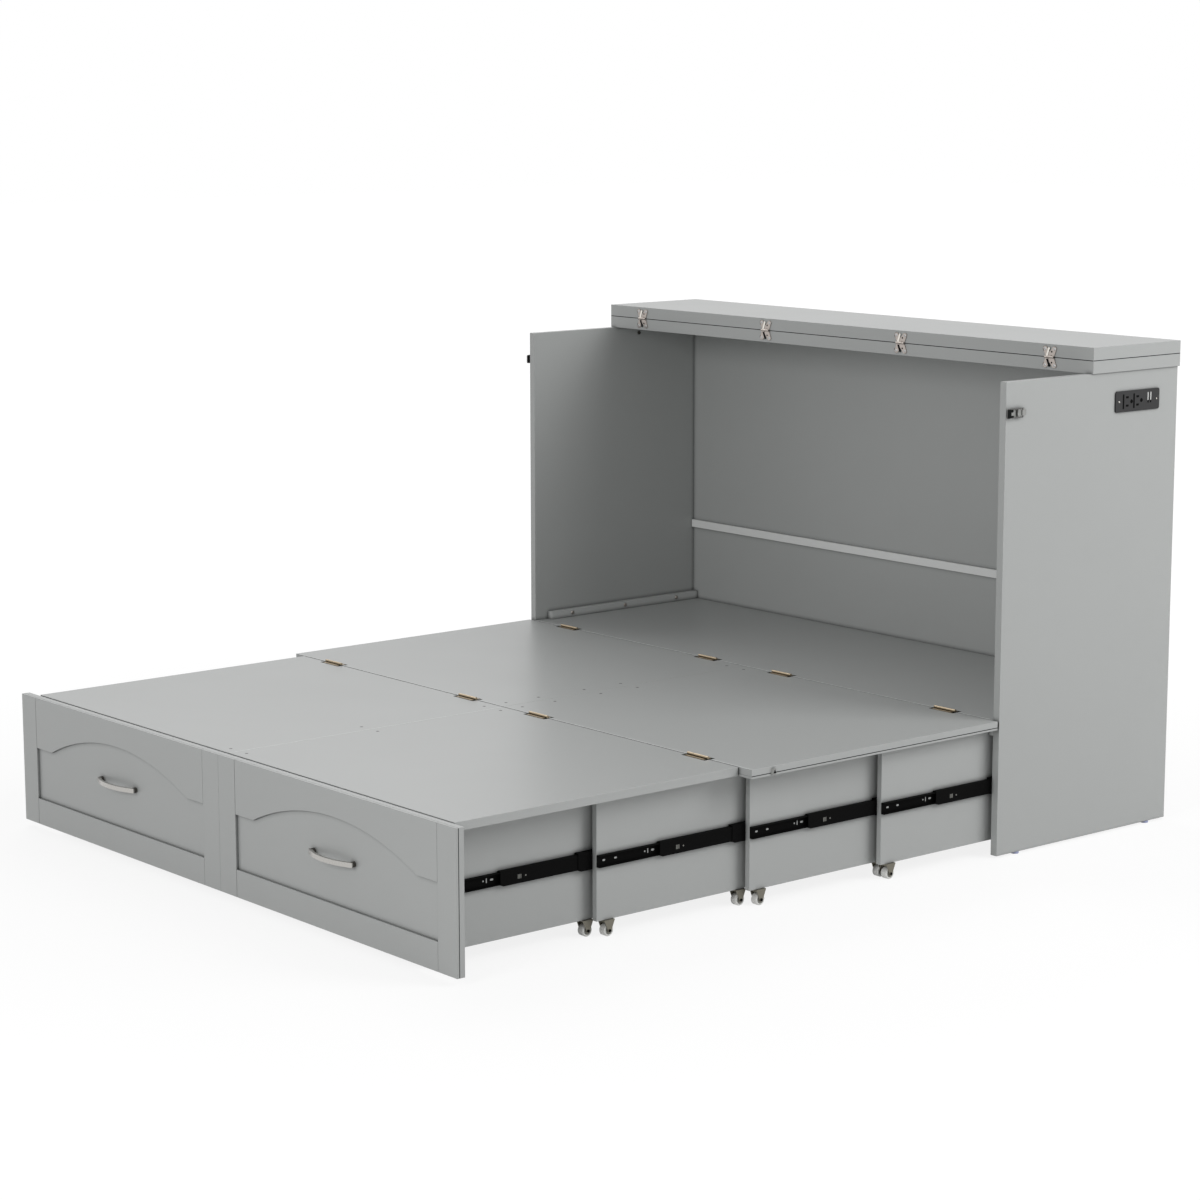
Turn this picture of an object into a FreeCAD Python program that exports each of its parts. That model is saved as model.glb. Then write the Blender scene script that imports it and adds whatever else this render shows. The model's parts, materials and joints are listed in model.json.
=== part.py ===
"""Cabinet bed, opened out: a cabinet, three hinged decks and four frames that draw out like drawers.

X runs across the bed, Y from the handles (low) to the back (high), Z up from the floor. The origin is
on the floor at the middle of the whole length. In the text of a size, y is counted from the plane of
the cabinet's front edges: minus is out in the room, plus is inside the cabinet.
"""
import FreeCAD, Part
import os
import re
import Sketcher

V = FreeCAD.Vector

# Driving dimensions in millimetres. Each name is the alias of one cell of the sheet.
SIZES = {
    # cabinet
    "outer_width": 1650,
    "side_thick": 18,
    "side_depth": 567,
    "side_top": 1056,
    "glide_tall": 5,
    "glide_radius": 9,
    "glide_front": 69,
    "glide_back": 508,
    "back_thick": 16,
    "back_inset": 4.5,
    "back_low": 35,
    "back_split": 514,
    "rail_tall": 20,
    "rail_thick": 6,
    # top in two layers: the upper one flips to the front
    "top_front": 275,
    "top_layer": 29,
    "top_over_side": 4,
    "top_over_back": 3,
    "flap_gap": 0.4,
    "flip_reach": 3,
    "flip_knuckle": 2.5,
    "flip_plate": 1.5,
    "flip_wide": 40,
    "flip_tall": 24,
    "flip_round": 4,
    "flip_inner": 233.5,
    "flip_outer": 701,
    "flip_pin": 1.2,
    # decks
    "deck_top": 310.5,
    "rear_deck_thick": 18,
    "side_play": 0.5,
    "rear_seam": 3.5,
    "seam_gap": 2.4,
    "mid_pitch": 734,
    "mid_slab": 14.2,
    "door_layer": 5.5,
    "front_slab": 18.4,
    "front_long": 727.8,
    "front_inset": 38,
    "half_gap": 0.3,
    "batten_thick": 18,
    "batten_tall": 19.6,
    "batten_front": 41,
    "cleat_thick": 11.7,
    "cleat_tall": 18,
    "joiner_wide": 90,
    "joiner_long": 50,
    "screw_first": 28.3,
    "joiner_inset": 0.5,
    "joiner_thick": 11,
    # butt hinges of the decks
    "pin_rise": 3,
    "knuckle_radius": 3,
    "pin_radius": 1.25,
    "pin_play": 0.05,
    "leaf_wide": 64,
    "leaf_tall": 14,
    "leaf_thick": 1.1,
    "leaf_end": 20,
    "leaf_play": 0.3,
    "rear_hinge_inner": 131,
    "rear_hinge_outer": 664,
    "front_hinge_inner": 129,
    "front_hinge_outer": 661,
    # front board and its face frames
    "board_gap": 7.2,
    "board_thick": 13.4,
    "face_layer": 5.8,
    "rail_joint": 0.6,
    "board_low": 15.4,
    "board_top": 311,
    "stile_outer": 60.5,
    "stile_inner": 61.8,
    "rail_low": 60,
    "cusp_drop": 117.5,
    "peak_drop": 55,
    "cusp_half": 285,
    # bow handles
    "handle_half": 76,
    "handle_proud": 28,
    "handle_tall": 10,
    "handle_thick": 5,
    "handle_level": 171,
    "foot_proud": 8,
    "foot_radius": 6,
    # four telescoping frames, a (with the board) to d (next to the cabinet)
    "panel_thick": 13,
    "slide_gap": 12.7,
    "frame_low": 35.2,
    "frame_top": 290.4,
    "frame_top_a": 291.8,
    "b_out": 1080.5,
    "c_out": 689,
    "d_out": 331,
    "a_rear": 982.7,
    "b_rear": 609.5,
    "c_rear": 199,
    "d_rear": -211,
    "cross_thick": 15,
    # ball slides
    "slide_level": 160.3,
    "slide_a_tail": 21,
    "slide_b_tail": 40,
    "slide_c_tail": 92,
    "slide_d_tail": 117,
    "mid_shorter": 10,
    "slide_tall": 38,
    "slide_sheet": 1.2,
    "slide_race": 3.2,
    "mid_race": 2.95,
    "slide_play": 0.3,
    "slide_lip": 0.8,
    "slide_lead": 36.2,
    "slide_lead_d": 3,
    "mid_a_lead": 17.2,
    "mid_b_lead": 19.15,
    "mid_c_lead": 20.2,
    "mid_d_lead": 7.3,
    "nose_long": 7,
    "nose_tall": 3.4,
    # casters
    "wheel_radius": 12.5,
    "wheel_wide": 17,
    "axle_radius": 2.5,
    "axle_play": 0.08,
    "fork_wide": 23,
    "fork_cheek": 1.6,
    "fork_top": 26,
    "fork_foot": 4.6,
    "fork_bottom": 4.9,
    "a_rear_inset": 102.3,
    "b_front_inset": 30.5,
    "b_rear_inset": 83.5,
    "c_front_inset": 30,
    "c_rear_inset": 104,
    "d_front_inset": 28,
    # draw latches
    "latch_level": 988,
    "latch_axis": 34,
    "latch_off": 5,
    "latch_crank": 12,
    "latch_crank_off": 2,
    "loop_long": 48,
    "loop_half": 9.5,
    "wire_radius": 1.2,
    "base_long": 52,
    "base_tall": 20,
    "base_thick": 1.6,
    "base_round": 8,
    "lever_half": 6,
    "lever_long": 24,
    "lever_thick": 1.4,
    "keeper_at": 677,
    "keeper_half": 5,
    "keeper_proud": 6,
    "keeper_low": 293,
    "keeper_high": 306,
    # outlet in the right-hand side
    "outlet_front": 354.3,
    "outlet_long": 148,
    "outlet_low": 964.4,
    "outlet_tall": 47,
    "outlet_plate": 3,
    "outlet_round": 5,
    "outlet_box_inset": 6,
    "outlet_box_deep": 30,
    "outlet_play": 0.3,
    "slot_deep": 3,
    "slot_wide": 2,
    "slot_tall": 7,
    "socket_first": 38.5,
    "socket_pitch": 35.1,
    "socket_spread": 18.7,
    "ground_off": 14,
    "ground_radius": 2.6,
    "usb_first": 109.4,
    "usb_pitch": 8.6,
    "usb_wide": 4.5,
    "usb_tall": 16,
}

# Places worked out from the sizes above, as text for the expressions.
PLACES = {
    "front_plane": "(bed_out + board_thick + handle_proud - side_depth - top_over_back) / 2",
    "half_width": "outer_width / 2",
    "bed_out": "(front_seam + seam_gap / 2 + front_long + board_gap)",
    "inner_face": "half_width - side_thick",
    "back_front": "side_depth - back_inset - back_thick",
    "flap_low": "side_top + top_layer + flap_gap",
    "flip_axis": "flap_low - flap_gap / 4",
    "flip_line": "top_front - flip_reach",
    "flip_edge": "(flip_knuckle + leaf_play)",
    "front_seam": "(rear_seam + mid_pitch)",
    "screw_pitch": "((front_long - screw_first - joiner_long / 2 - joiner_inset) / 2)",
    "pin_level": "deck_top + pin_rise",
    "mid_low": "deck_top - mid_slab",
    "door_low": "mid_low - door_layer",
    "front_half": "half_width - front_inset",
    "face_d": "inner_face - slide_gap",
    "face_c": "face_d - panel_thick - slide_gap",
    "face_b": "face_c - panel_thick - slide_gap",
    "face_a": "face_b - panel_thick - slide_gap",
    "panel_front": "bed_out + board_thick",
    "half_middle": "half_width / 2",
    "rail_from": "(stile_inner + rail_joint)",
    "rail_to": "(half_width - stile_outer - rail_joint)",
    "mid_a_out": "((bed_out + b_out + slide_lead) / 2 + mid_a_lead)",
    "mid_b_out": "((b_out + c_out + slide_lead) / 2 + mid_b_lead)",
    "mid_c_out": "((c_out + d_out + slide_lead_d) / 2 + mid_c_lead)",
    "mid_d_out": "((d_out + slide_lead_d) / 2 + mid_d_lead)",
    "caster_a_rear": "(a_rear + a_rear_inset)",
    "caster_b_front": "(b_out - b_front_inset)",
    "caster_b_rear": "(b_rear + b_rear_inset)",
    "caster_c_front": "(c_out - c_front_inset)",
    "caster_c_rear": "(c_rear + c_rear_inset)",
    "caster_d_front": "(d_out - d_front_inset)",
    "slide_a_long": "(b_out - b_rear - slide_a_tail)",
    "slide_b_long": "(c_out - c_rear - slide_b_tail)",
    "slide_c_long": "(d_out - d_rear - slide_c_tail)",
    "slide_d_long": "(side_depth - slide_d_tail)",
    "mid_tall": "slide_tall - 2 * slide_race - 2 * slide_play",
    "inner_tall": "mid_tall - 2 * mid_race - 2 * slide_play",
}

doc = FreeCAD.newDocument("cabinet_bed")
sheet = doc.addObject("Spreadsheet::Sheet", "Sizes")
for row, (name, number) in enumerate(SIZES.items(), start=1):
    sheet.set(f"A{row}", name)
    sheet.set(f"B{row}", str(number))
    sheet.setAlias(f"B{row}", name)
doc.recompute()


def sized(text):
    """The text of a size as an expression: names of places are opened up, names of sizes point to cells."""
    def cell(word):
        name = word[0]
        if name in PLACES:
            return "(" + sized(PLACES[name]) + ")"
        return "Sizes." + name if name in SIZES else name
    return re.sub(r"[a-z][a-z_]+", cell, str(text))


def measure(text):
    """The size in millimetres, for the first drawing of a sketch."""
    return float(sheet.evalExpression(sized(text)))


def bind(thing, prop, text):
    thing.setExpression(prop, sized(text))


def at(thing, x, y, z):
    """Set a piece down: y is counted from the cabinet's front edges."""
    bind(thing, "Placement.Base.x", x)
    bind(thing, "Placement.Base.y", f"{y} + front_plane")
    bind(thing, "Placement.Base.z", z)
    return thing


def board(name, x, y, z):
    """A straight board or block between two limits each way."""
    thing = doc.addObject("Part::Box", name)
    bind(thing, "Length", f"{x[1]} - ({x[0]})")
    bind(thing, "Width", f"{y[1]} - ({y[0]})")
    bind(thing, "Height", f"{z[1]} - ({z[0]})")
    return at(thing, *(f"({low[0]})" for low in (x, y, z)))


AXIS_TURN = {
    "x": FreeCAD.Rotation(V(0, 1, 0), 90),
    "y": FreeCAD.Rotation(V(1, 0, 0), -90),
    "z": FreeCAD.Rotation(),
}


def rod(name, axis, start, radius, length):
    """A round bar from its start point along one axis."""
    thing = doc.addObject("Part::Cylinder", name)
    thing.Placement = FreeCAD.Placement(V(), AXIS_TURN[axis])
    bind(thing, "Radius", radius)
    bind(thing, "Height", length)
    return at(thing, *start)


def joined(name, pieces):
    thing = doc.addObject("Part::MultiFuse", name)
    thing.Shapes = pieces
    return thing


def cut(name, base, tool):
    thing = doc.addObject("Part::Cut", name)
    thing.Base = base
    thing.Tool = tool
    return thing


def mirrored(piece):
    """The same piece on the other side of the bed."""
    thing = doc.addObject("Part::Mirroring", piece.Name + "_mirror")
    thing.Source = piece
    thing.Base = V()
    thing.Normal = V(1, 0, 0)
    return thing


def both_sides(pieces):
    return pieces + [mirrored(piece) for piece in pieces]


def outline(body, role, corners):
    """A closed sketch on one of the body's own planes. A corner is (across, up), or (across, up, radius)
    where an arc of that radius leads to it from the corner before. The arc bulges to the right of the way
    round, or to the left of it where a fourth entry says "hollow"."""
    sketch = body.newObject("Sketcher::SketchObject", body.Name + "_outline")
    plane = [feature for feature in body.Origin.OriginFeatures if feature.Role == role][0]
    sketch.AttachmentSupport = [(plane, "")]
    sketch.MapMode = "FlatFace"
    spots = [V(measure(corner[0]), measure(corner[1]), 0) for corner in corners]
    count = len(corners)
    for index, corner in enumerate(corners):
        start, end = spots[index - 1], spots[index]
        if len(corner) > 2:
            chord = end - start
            radius = measure(corner[2])
            sag = radius - max(radius ** 2 - (chord.Length / 2) ** 2, 0) ** 0.5
            outward = V(chord.y, -chord.x, 0).normalize() * (-1 if corner[-1] == "hollow" else 1)
            sketch.addGeometry(Part.Arc(start, (start + end) / 2 + outward * sag, end), False)
        else:
            sketch.addGeometry(Part.LineSegment(start, end), False)
    ends = []
    for index in range(count):
        first = sketch.getPoint(index, 1)
        ends.append((1, 2) if first.distanceToPoint(spots[index - 1]) < 0.001 else (2, 1))
    for index, corner in enumerate(corners):
        following = (index + 1) % count
        sketch.addConstraint(
            Sketcher.Constraint("Coincident", index, ends[index][1], following, ends[following][0])
        )
        for way, size, spot in (("DistanceX", corner[0], spots[index].x),
                                ("DistanceY", corner[1], spots[index].y)):
            number = sketch.addConstraint(Sketcher.Constraint(way, -1, 1, index, ends[index][1], spot))
            bind(sketch, f"Constraints[{number}]", size)
        if len(corner) > 2:
            number = sketch.addConstraint(Sketcher.Constraint("Radius", index, measure(corner[2])))
            bind(sketch, f"Constraints[{number}]", corner[2])
    return sketch


def padded(name, role, corners, thick, place, centred=False, backward=False):
    """A body drawn as an outline and given its thickness."""
    body = doc.addObject("PartDesign::Body", name)
    sketch = outline(body, role, corners)
    pad = body.newObject("PartDesign::Pad", name + "_pad")
    pad.Profile = sketch
    bind(pad, "Length", thick)
    pad.Midplane = centred
    pad.Reversed = backward
    sketch.Visibility = False
    at(body, *place)
    return body


def rounded(length, tall, radius):
    """A rectangle with round corners, from its low corner."""
    return [
        ("0", radius),
        (radius, "0", radius),
        (f"{length} - {radius}", "0"),
        (length, radius, radius),
        (length, f"{tall} - {radius}"),
        (f"{length} - {radius}", tall, radius),
        (radius, tall),
        ("0", f"{tall} - {radius}", radius),
    ]


def turned(name, role, corners, place):
    """A body drawn as half a section and turned round the sketch's level axis."""
    body = doc.addObject("PartDesign::Body", name)
    sketch = outline(body, role, corners)
    turn = body.newObject("PartDesign::Revolution", name + "_turn")
    turn.Profile = sketch
    turn.ReferenceAxis = (sketch, ["H_Axis"])
    turn.Angle = 360
    at(body, *place)
    return body


NODES = []


def node(name, pieces):
    """A finished sub-part: its label names its file."""
    thing = doc.addObject("Part::Compound", name)
    thing.Links = pieces
    thing.Label = name
    NODES.append(thing)


# ---------------------------------------------------------------- cabinet

def cabinet():
    side_low = "glide_tall"
    right = board("right_board", ("inner_face", "half_width"), ("0", "side_depth"), (side_low, "side_top"))
    left = board("left_board", ("-half_width", "-inner_face"), ("0", "side_depth"), (side_low, "side_top"))
    outlet_hole = board(
        "outlet_hole",
        ("inner_face - 1", "half_width + 1"),
        ("outlet_front + outlet_box_inset - outlet_play",
         "outlet_front + outlet_long - outlet_box_inset + outlet_play"),
        ("outlet_low + outlet_box_inset - outlet_play",
         "outlet_low + outlet_tall - outlet_box_inset + outlet_play"),
    )
    node("side_left", [left])
    node("side_right", [cut("right_board_cut", right, outlet_hole)])
    across = ("-inner_face", "inner_face")
    behind = ("back_front", "back_front + back_thick")
    node("back_lower", [board("back_lower_board", across, behind, ("back_low", "back_split"))])
    node("back_upper", [board("back_upper_board", across, behind, ("back_split", "side_top"))])
    rail = board("back_rail_board", across, ("back_front - rail_thick", "back_front"),
                 ("back_split - rail_tall / 2", "back_split + rail_tall / 2"))
    node("back_rail", [rail])
    middle = "half_width - side_thick / 2"
    node("glides", both_sides([
        rod("glide_" + end, "z", (middle, "glide_" + end, "0"), "glide_radius", "glide_tall")
        for end in ("front", "back")
    ]))


def top():
    across = ("-half_width - top_over_side", "half_width + top_over_side")
    deep = ("top_front", "side_depth + top_over_back")
    node("top_fixed", [board("top_fixed_board", across, deep, ("side_top", "side_top + top_layer"))])
    node("top_flap", [board("top_flap_board", across, deep, ("flap_low", "flap_low + top_layer"))])


def flip_leaf(name, x, way):
    """One leaf of a flip hinge on the front edge of a top layer: a plate with two arms spread in a V.
    way is 1 for the upper leaf and -1 for the lower one."""
    rise = f"{way} * "
    corners = [
        ("-flip_wide / 3", rise + "flip_edge"),
        ("flip_wide / 3", rise + "flip_edge"),
        ("flip_wide / 2", rise + "(flip_tall - flip_round)"),
        ("flip_wide / 2 - flip_round", rise + "flip_tall"),
        ("flip_wide / 6 + flip_round", rise + "flip_tall"),
        ("flip_wide / 6", rise + "(flip_tall - flip_round)"),
        ("0", rise + "flip_tall / 2"),
        ("-flip_wide / 6", rise + "(flip_tall - flip_round)"),
        ("-flip_wide / 6 - flip_round", rise + "flip_tall"),
        ("-flip_wide / 2 + flip_round", rise + "flip_tall"),
        ("-flip_wide / 2", rise + "(flip_tall - flip_round)"),
    ]
    plate = padded(name + "_plate", "XZ_Plane", corners, "flip_plate", (x, "top_front", "flip_axis"))
    third = "flip_wide * 2 / 9"
    starts = ["-flip_wide / 3", "flip_wide / 9"] if way < 0 else ["-flip_wide / 9"]
    pieces = [plate]
    for number, start in enumerate(starts):
        place = (f"{x} + {start} + leaf_play / 2", "flip_line", "flip_axis")
        pieces.append(rod(f"{name}_knuckle_{number}", "x", place, "flip_knuckle", third + " - leaf_play"))
        pieces.append(board(
            f"{name}_web_{number}",
            (f"{x} + {start} + leaf_play / 2", f"{x} + {start} + {third} - leaf_play / 2"),
            ("flip_line", "top_front"),
            ("flip_axis + flip_knuckle / 5", "flip_axis + flip_edge + flip_plate") if way > 0
            else ("flip_axis - flip_edge - flip_plate", "flip_axis - flip_knuckle / 5"),
        ))
    whole = joined(name + "_leaf", pieces)
    pin_place = (f"{x} - flip_wide / 3 + leaf_play / 2", "flip_line", "flip_axis")
    pin_long = "flip_wide * 2 / 3 - leaf_play"
    if way < 0:
        return joined(name + "_pinned", [whole, rod(name + "_pin", "x", pin_place, "flip_pin", pin_long)])
    return cut(name + "_bored", whole, rod(name + "_bore", "x", pin_place, "flip_pin + pin_play", pin_long))


def flip_hinges():
    for node_name, way in (("flip_hinge_lower_leaves", -1), ("flip_hinge_upper_leaves", 1)):
        node(node_name, both_sides([
            flip_leaf(f"{node_name}_{place}", "flip_" + place, way) for place in ("inner", "outer")
        ]))


# ---------------------------------------------------------------- decks

def decks():
    rear = board("rear_deck_board", ("-inner_face + side_play", "inner_face - side_play"),
                 ("-rear_seam + seam_gap / 2", "back_front - side_play"),
                 ("deck_top - rear_deck_thick", "deck_top"))
    node("rear_deck", [rear])
    batten = board("batten", ("inner_face - batten_thick", "inner_face"),
                   ("batten_front", "back_front - side_play"), ("deck_top", "deck_top + batten_tall"))
    cleat = board("cleat", ("inner_face - cleat_thick", "inner_face"), ("0", "back_front - side_play"),
                  ("deck_top - rear_deck_thick - cleat_tall", "deck_top - rear_deck_thick"))
    node("rear_deck_strips", both_sides([batten, cleat]))
    mid_long = ("-front_seam + seam_gap / 2", "-rear_seam - seam_gap / 2")
    half = ("half_gap / 2", "half_width")
    mid = board("mid_half", half, mid_long, ("mid_low", "deck_top"))
    node("mid_deck_right", [mid])
    node("mid_deck_left", [mirrored(mid)])
    front_high = "-front_seam - seam_gap / 2"
    front = board("front_half_board", ("half_gap / 2", "front_half"), (f"{front_high} - front_long", front_high),
                  ("deck_top - front_slab", "deck_top"))
    node("front_deck_right", [front])
    node("front_deck_left", [mirrored(front)])
    joiners = []
    for number in range(3):
        centre = f"({front_high} - screw_first - {number} * screw_pitch)"
        joiners.append(board(f"joiner_{number}", ("-joiner_wide / 2", "joiner_wide / 2"),
                             (f"{centre} - joiner_long / 2", f"{centre} + joiner_long / 2"),
                             ("deck_top - front_slab - joiner_thick", "deck_top - front_slab")))
    node("front_deck_joiners", joiners)


def arched_rail(name, role, high, thick):
    """The top rail of a frame: straight to the cusps, then one arc over the middle. It is drawn between
    the stiles with its top edge at the given height."""
    rise = "(cusp_drop - peak_drop)"
    radius = f"(cusp_half ^ 2 + {rise} ^ 2) / (2 * {rise})"
    low = f"{high} - cusp_drop"
    corners = [
        ("rail_from", low),
        ("half_middle - cusp_half", low),
        ("half_middle + cusp_half", low, radius, "hollow"),
        ("rail_to", low),
        ("rail_to", high),
        ("rail_from", high),
    ]
    return padded(name, role, corners, thick, ("0", "0", "0"))


def door_frame():
    """The arched frame under the middle deck, which is the face of the closed cabinet: stiles and rails
    with a fine joint between them. One centre stile spans both halves of the deck and ties them
    together."""
    near, far = "rear_seam + seam_gap / 2", "front_seam - seam_gap / 2"
    along, level = (f"-({far})", f"-({near})"), ("door_low", "mid_low")
    centre = board("door_centre_stile", ("-stile_inner", "stile_inner"), along, level)
    stile = board("door_stile", ("half_width - stile_outer", "half_width"), along, level)
    low_rail = board("door_low_rail", ("rail_from", "rail_to"), (f"-({near} + rail_low)", f"-({near})"), level)
    top_rail = arched_rail("door_top_rail", "XY_Plane", f"({far})", "door_layer")
    # the sketch is drawn up the closed door, so it is turned over to lie along the deck
    top_rail.Placement = FreeCAD.Placement(V(), FreeCAD.Rotation(V(1, 0, 0), 180))
    at(top_rail, "0", "0", "mid_low")
    node("door_frame", [centre] + both_sides([stile, low_rail, top_rail]))


def butt_leaf(name, x, seam, moving):
    """One leaf of a brass butt hinge in a seam. The fixed leaf lies on the boards behind the seam and
    holds the pin in its two end knuckles; the moving leaf has the middle knuckle."""
    way = "-1" if moving else "1"
    near = f"(seam_gap / 2 - leaf_thick) * {way}"
    far = f"seam_gap / 2 * {way}"
    span = (f"-({seam}) + {far}", f"-({seam}) + {near}") if moving else (
        f"-({seam}) + {near}", f"-({seam}) + {far}")
    left = f"({x} - leaf_wide / 2)"
    plate = board(name + "_plate", (left, f"{left} + leaf_wide"), span,
                  ("deck_top - leaf_tall", "deck_top - leaf_play"))
    middle = (f"{left} + leaf_end + leaf_play", "leaf_wide - 2 * leaf_end - 2 * leaf_play")
    ends = [(left, "leaf_end"), (f"{left} + leaf_wide - leaf_end", "leaf_end")]
    pieces = [plate]
    for number, (start, length) in enumerate([middle] if moving else ends):
        pieces.append(rod(f"{name}_knuckle_{number}", "x", (start, f"-({seam})", "pin_level"),
                          "knuckle_radius", length))
        pieces.append(board(f"{name}_web_{number}", (start, f"{start} + {length}"), span,
                            ("deck_top - leaf_play - leaf_thick", "pin_level")))
    whole = joined(name + "_leaf", pieces)
    pin = (left, f"-({seam})", "pin_level")
    if moving:
        return cut(name + "_bored", whole, rod(name + "_bore", "x", pin, "pin_radius + pin_play", "leaf_wide"))
    return joined(name + "_pinned", [whole, rod(name + "_pin", "x", pin, "pin_radius", "leaf_wide")])


def deck_hinges():
    def leaves(name, seam, moving):
        return both_sides([butt_leaf(f"{name}_{place}", f"{seam}_hinge_{place}", f"{seam}_seam", moving)
                           for place in ("inner", "outer")])
    node("rear_hinge_fixed_leaves", leaves("rear_fixed", "rear", False))
    node("mid_hinge_leaves", leaves("rear_moving", "rear", True) + leaves("front_fixed", "front", False))
    node("front_hinge_leaves", leaves("front_moving", "front", True))


# ---------------------------------------------------------------- front board

def front_board():
    board_y = ("-panel_front", "-bed_out")
    node("front_board", [board("front_back_board", ("-half_width", "half_width"), board_y,
                               ("board_low", "board_top"))])
    layer, level = ("-panel_front - face_layer", "-panel_front"), ("board_low", "board_top")
    pieces = [
        board("face_stile_inner", ("half_gap / 2", "stile_inner"), layer, level),
        board("face_stile_outer", ("half_width - stile_outer", "half_width"), layer, level),
        board("face_low_rail", ("rail_from", "rail_to"), layer, ("board_low", "board_low + rail_low")),
        at(arched_rail("face_top_rail", "XZ_Plane", "board_top", "face_layer"), "0", "-panel_front", "0"),
    ]
    node("face_frame_right", pieces)
    node("face_frame_left", [mirrored(piece) for piece in pieces])


def bow(half, rise):
    """Radius of an arc with that half chord and rise."""
    return f"(({half}) ^ 2 + ({rise}) ^ 2) / (2 * ({rise}))"


def handles():
    """A flat band bowed away from the panel, on two short round feet."""
    inner_half = "handle_half - 2 * foot_radius"
    outer_end = "-foot_proud - handle_thick / 2"
    corners = [
        ("-handle_half", outer_end),
        ("handle_half", outer_end, bow("handle_half", "handle_proud - foot_proud - handle_thick / 2")),
        ("handle_half", "-foot_proud"),
        (inner_half, "-foot_proud"),
        (f"-({inner_half})", "-foot_proud",
         bow(inner_half, "handle_proud - foot_proud - handle_thick"), "hollow"),
        ("-handle_half", "-foot_proud"),
    ]
    band = padded("handle_band", "XY_Plane", corners, "handle_tall",
                  ("half_middle", "-panel_front", "handle_level"), centred=True)
    feet = [rod(f"handle_foot_{number}", "y",
                (f"half_middle + {side} * (handle_half - foot_radius)", "-panel_front - foot_proud",
                 "handle_level"), "foot_radius", "foot_proud")
            for number, side in enumerate((1, -1))]
    node("handles", both_sides([band]))
    node("handle_feet", both_sides(feet))


# ---------------------------------------------------------------- frames, slides and casters

FRAMES = {
    "a": ("face_a", "bed_out", "a_rear", "frame_top_a"),
    "b": ("face_b", "b_out", "b_rear", "frame_top"),
    "c": ("face_c", "c_out", "c_rear", "frame_top"),
    "d": ("face_d", "d_out", "d_rear", "frame_top"),
}


def channel(name, face, front, length, tall, deep, race, opens_in):
    """A slide member: a rolled channel along the bed, its web on the given side. face is the x of the
    outside of its web."""
    low, high = f"-({tall}) / 2", f"({tall}) / 2"
    way = "-1" if opens_in else "1"
    lip, sheet_in = f"{way} * ({deep})", f"{way} * slide_sheet"
    corners = [
        ("0", low),
        (lip, low),
        (lip, f"{low} + {race}"),
        (sheet_in, f"{low} + {race}"),
        (sheet_in, f"{high} - {race}"),
        (lip, f"{high} - {race}"),
        (lip, high),
        ("0", high),
    ]
    return padded(name, "XZ_Plane", corners, length, (face, front, "slide_level"), backward=True)


def nosed(member, face, front, tall):
    """The member with the lower corner of its front end cut off."""
    low = f"-({tall}) / 2"
    corners = [
        ("-1", f"{low} - 1"),
        ("nose_long", f"{low} - 1"),
        ("nose_long", low),
        ("0", f"{low} + nose_tall"),
        ("-1", f"{low} + nose_tall"),
    ]
    corner = padded(member.Name + "_corner", "YZ_Plane", corners, "3 * slide_gap",
                    (face, front, "slide_level"), centred=True)
    return cut(member.Name + "_nosed", member, corner)


def outer_member(name, slide, front):
    """The member in the panel or the cabinet side, round the frame that runs inside it."""
    face = f"face_{slide}"
    member = channel(name, f"{face} + slide_gap", front, f"slide_{slide}_long", "slide_tall",
                     "slide_gap - slide_lip", "slide_race", True)
    return nosed(member, face, front, "slide_tall")


def inner_member(name, slide, front):
    """The member on the outside of a frame's own panel."""
    return channel(name, f"face_{slide}", front, f"slide_{slide}_long", "inner_tall",
                   "slide_gap - 2 * slide_sheet - 2 * slide_play", "slide_sheet", False)


def mid_member(name, slide, front):
    """The member that runs between the other two."""
    face = f"face_{slide}"
    member = channel(name, f"{face} + slide_gap - slide_sheet - slide_play", front,
                     f"slide_{slide}_long - mid_shorter", "mid_tall",
                     "slide_gap - 2 * slide_sheet - 2 * slide_play", "mid_race", True)
    return nosed(member, face, front, "mid_tall")


def slide_nodes():
    node("cabinet_slide_rails", both_sides([outer_member("rail_cabinet", "d", "-slide_lead_d")]))
    node("frame_a_slide_rails", both_sides([inner_member("rail_a_inner", "a", "-bed_out")]))
    for name, inside, lead in (("b", "a", "slide_lead"), ("c", "b", "slide_lead"), ("d", "c", "slide_lead_d")):
        front = FRAMES[name][1]
        node(f"frame_{name}_slide_rails", both_sides([
            inner_member(f"rail_{name}_inner", name, f"-{front}"),
            outer_member(f"rail_{name}_outer", inside, f"-{front} - {lead}"),
        ]))
    for name in FRAMES:
        middle = mid_member(f"slide_mid_{name}", name, f"-mid_{name}_out")
        node(f"slide_{name}_middles", both_sides([middle]))


def frame_nodes():
    for name, (face, front, back, high) in FRAMES.items():
        rear = f"-({back})"
        panel = board(f"panel_{name}", (f"{face} - panel_thick", face), (f"-{front}", rear),
                      ("frame_low", high))
        node(f"frame_{name}_sides", both_sides([panel]))
        inside = f"{face} - panel_thick"
        cross = board(f"cross_{name}", (f"-({inside})", inside), (f"{rear} - cross_thick", rear),
                      ("frame_low", high))
        node(f"frame_{name}_cross", [cross])


CASTERS = {
    "a": ("rear",),
    "b": ("front", "rear"),
    "c": ("front", "rear"),
    "d": ("front",),
}


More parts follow.
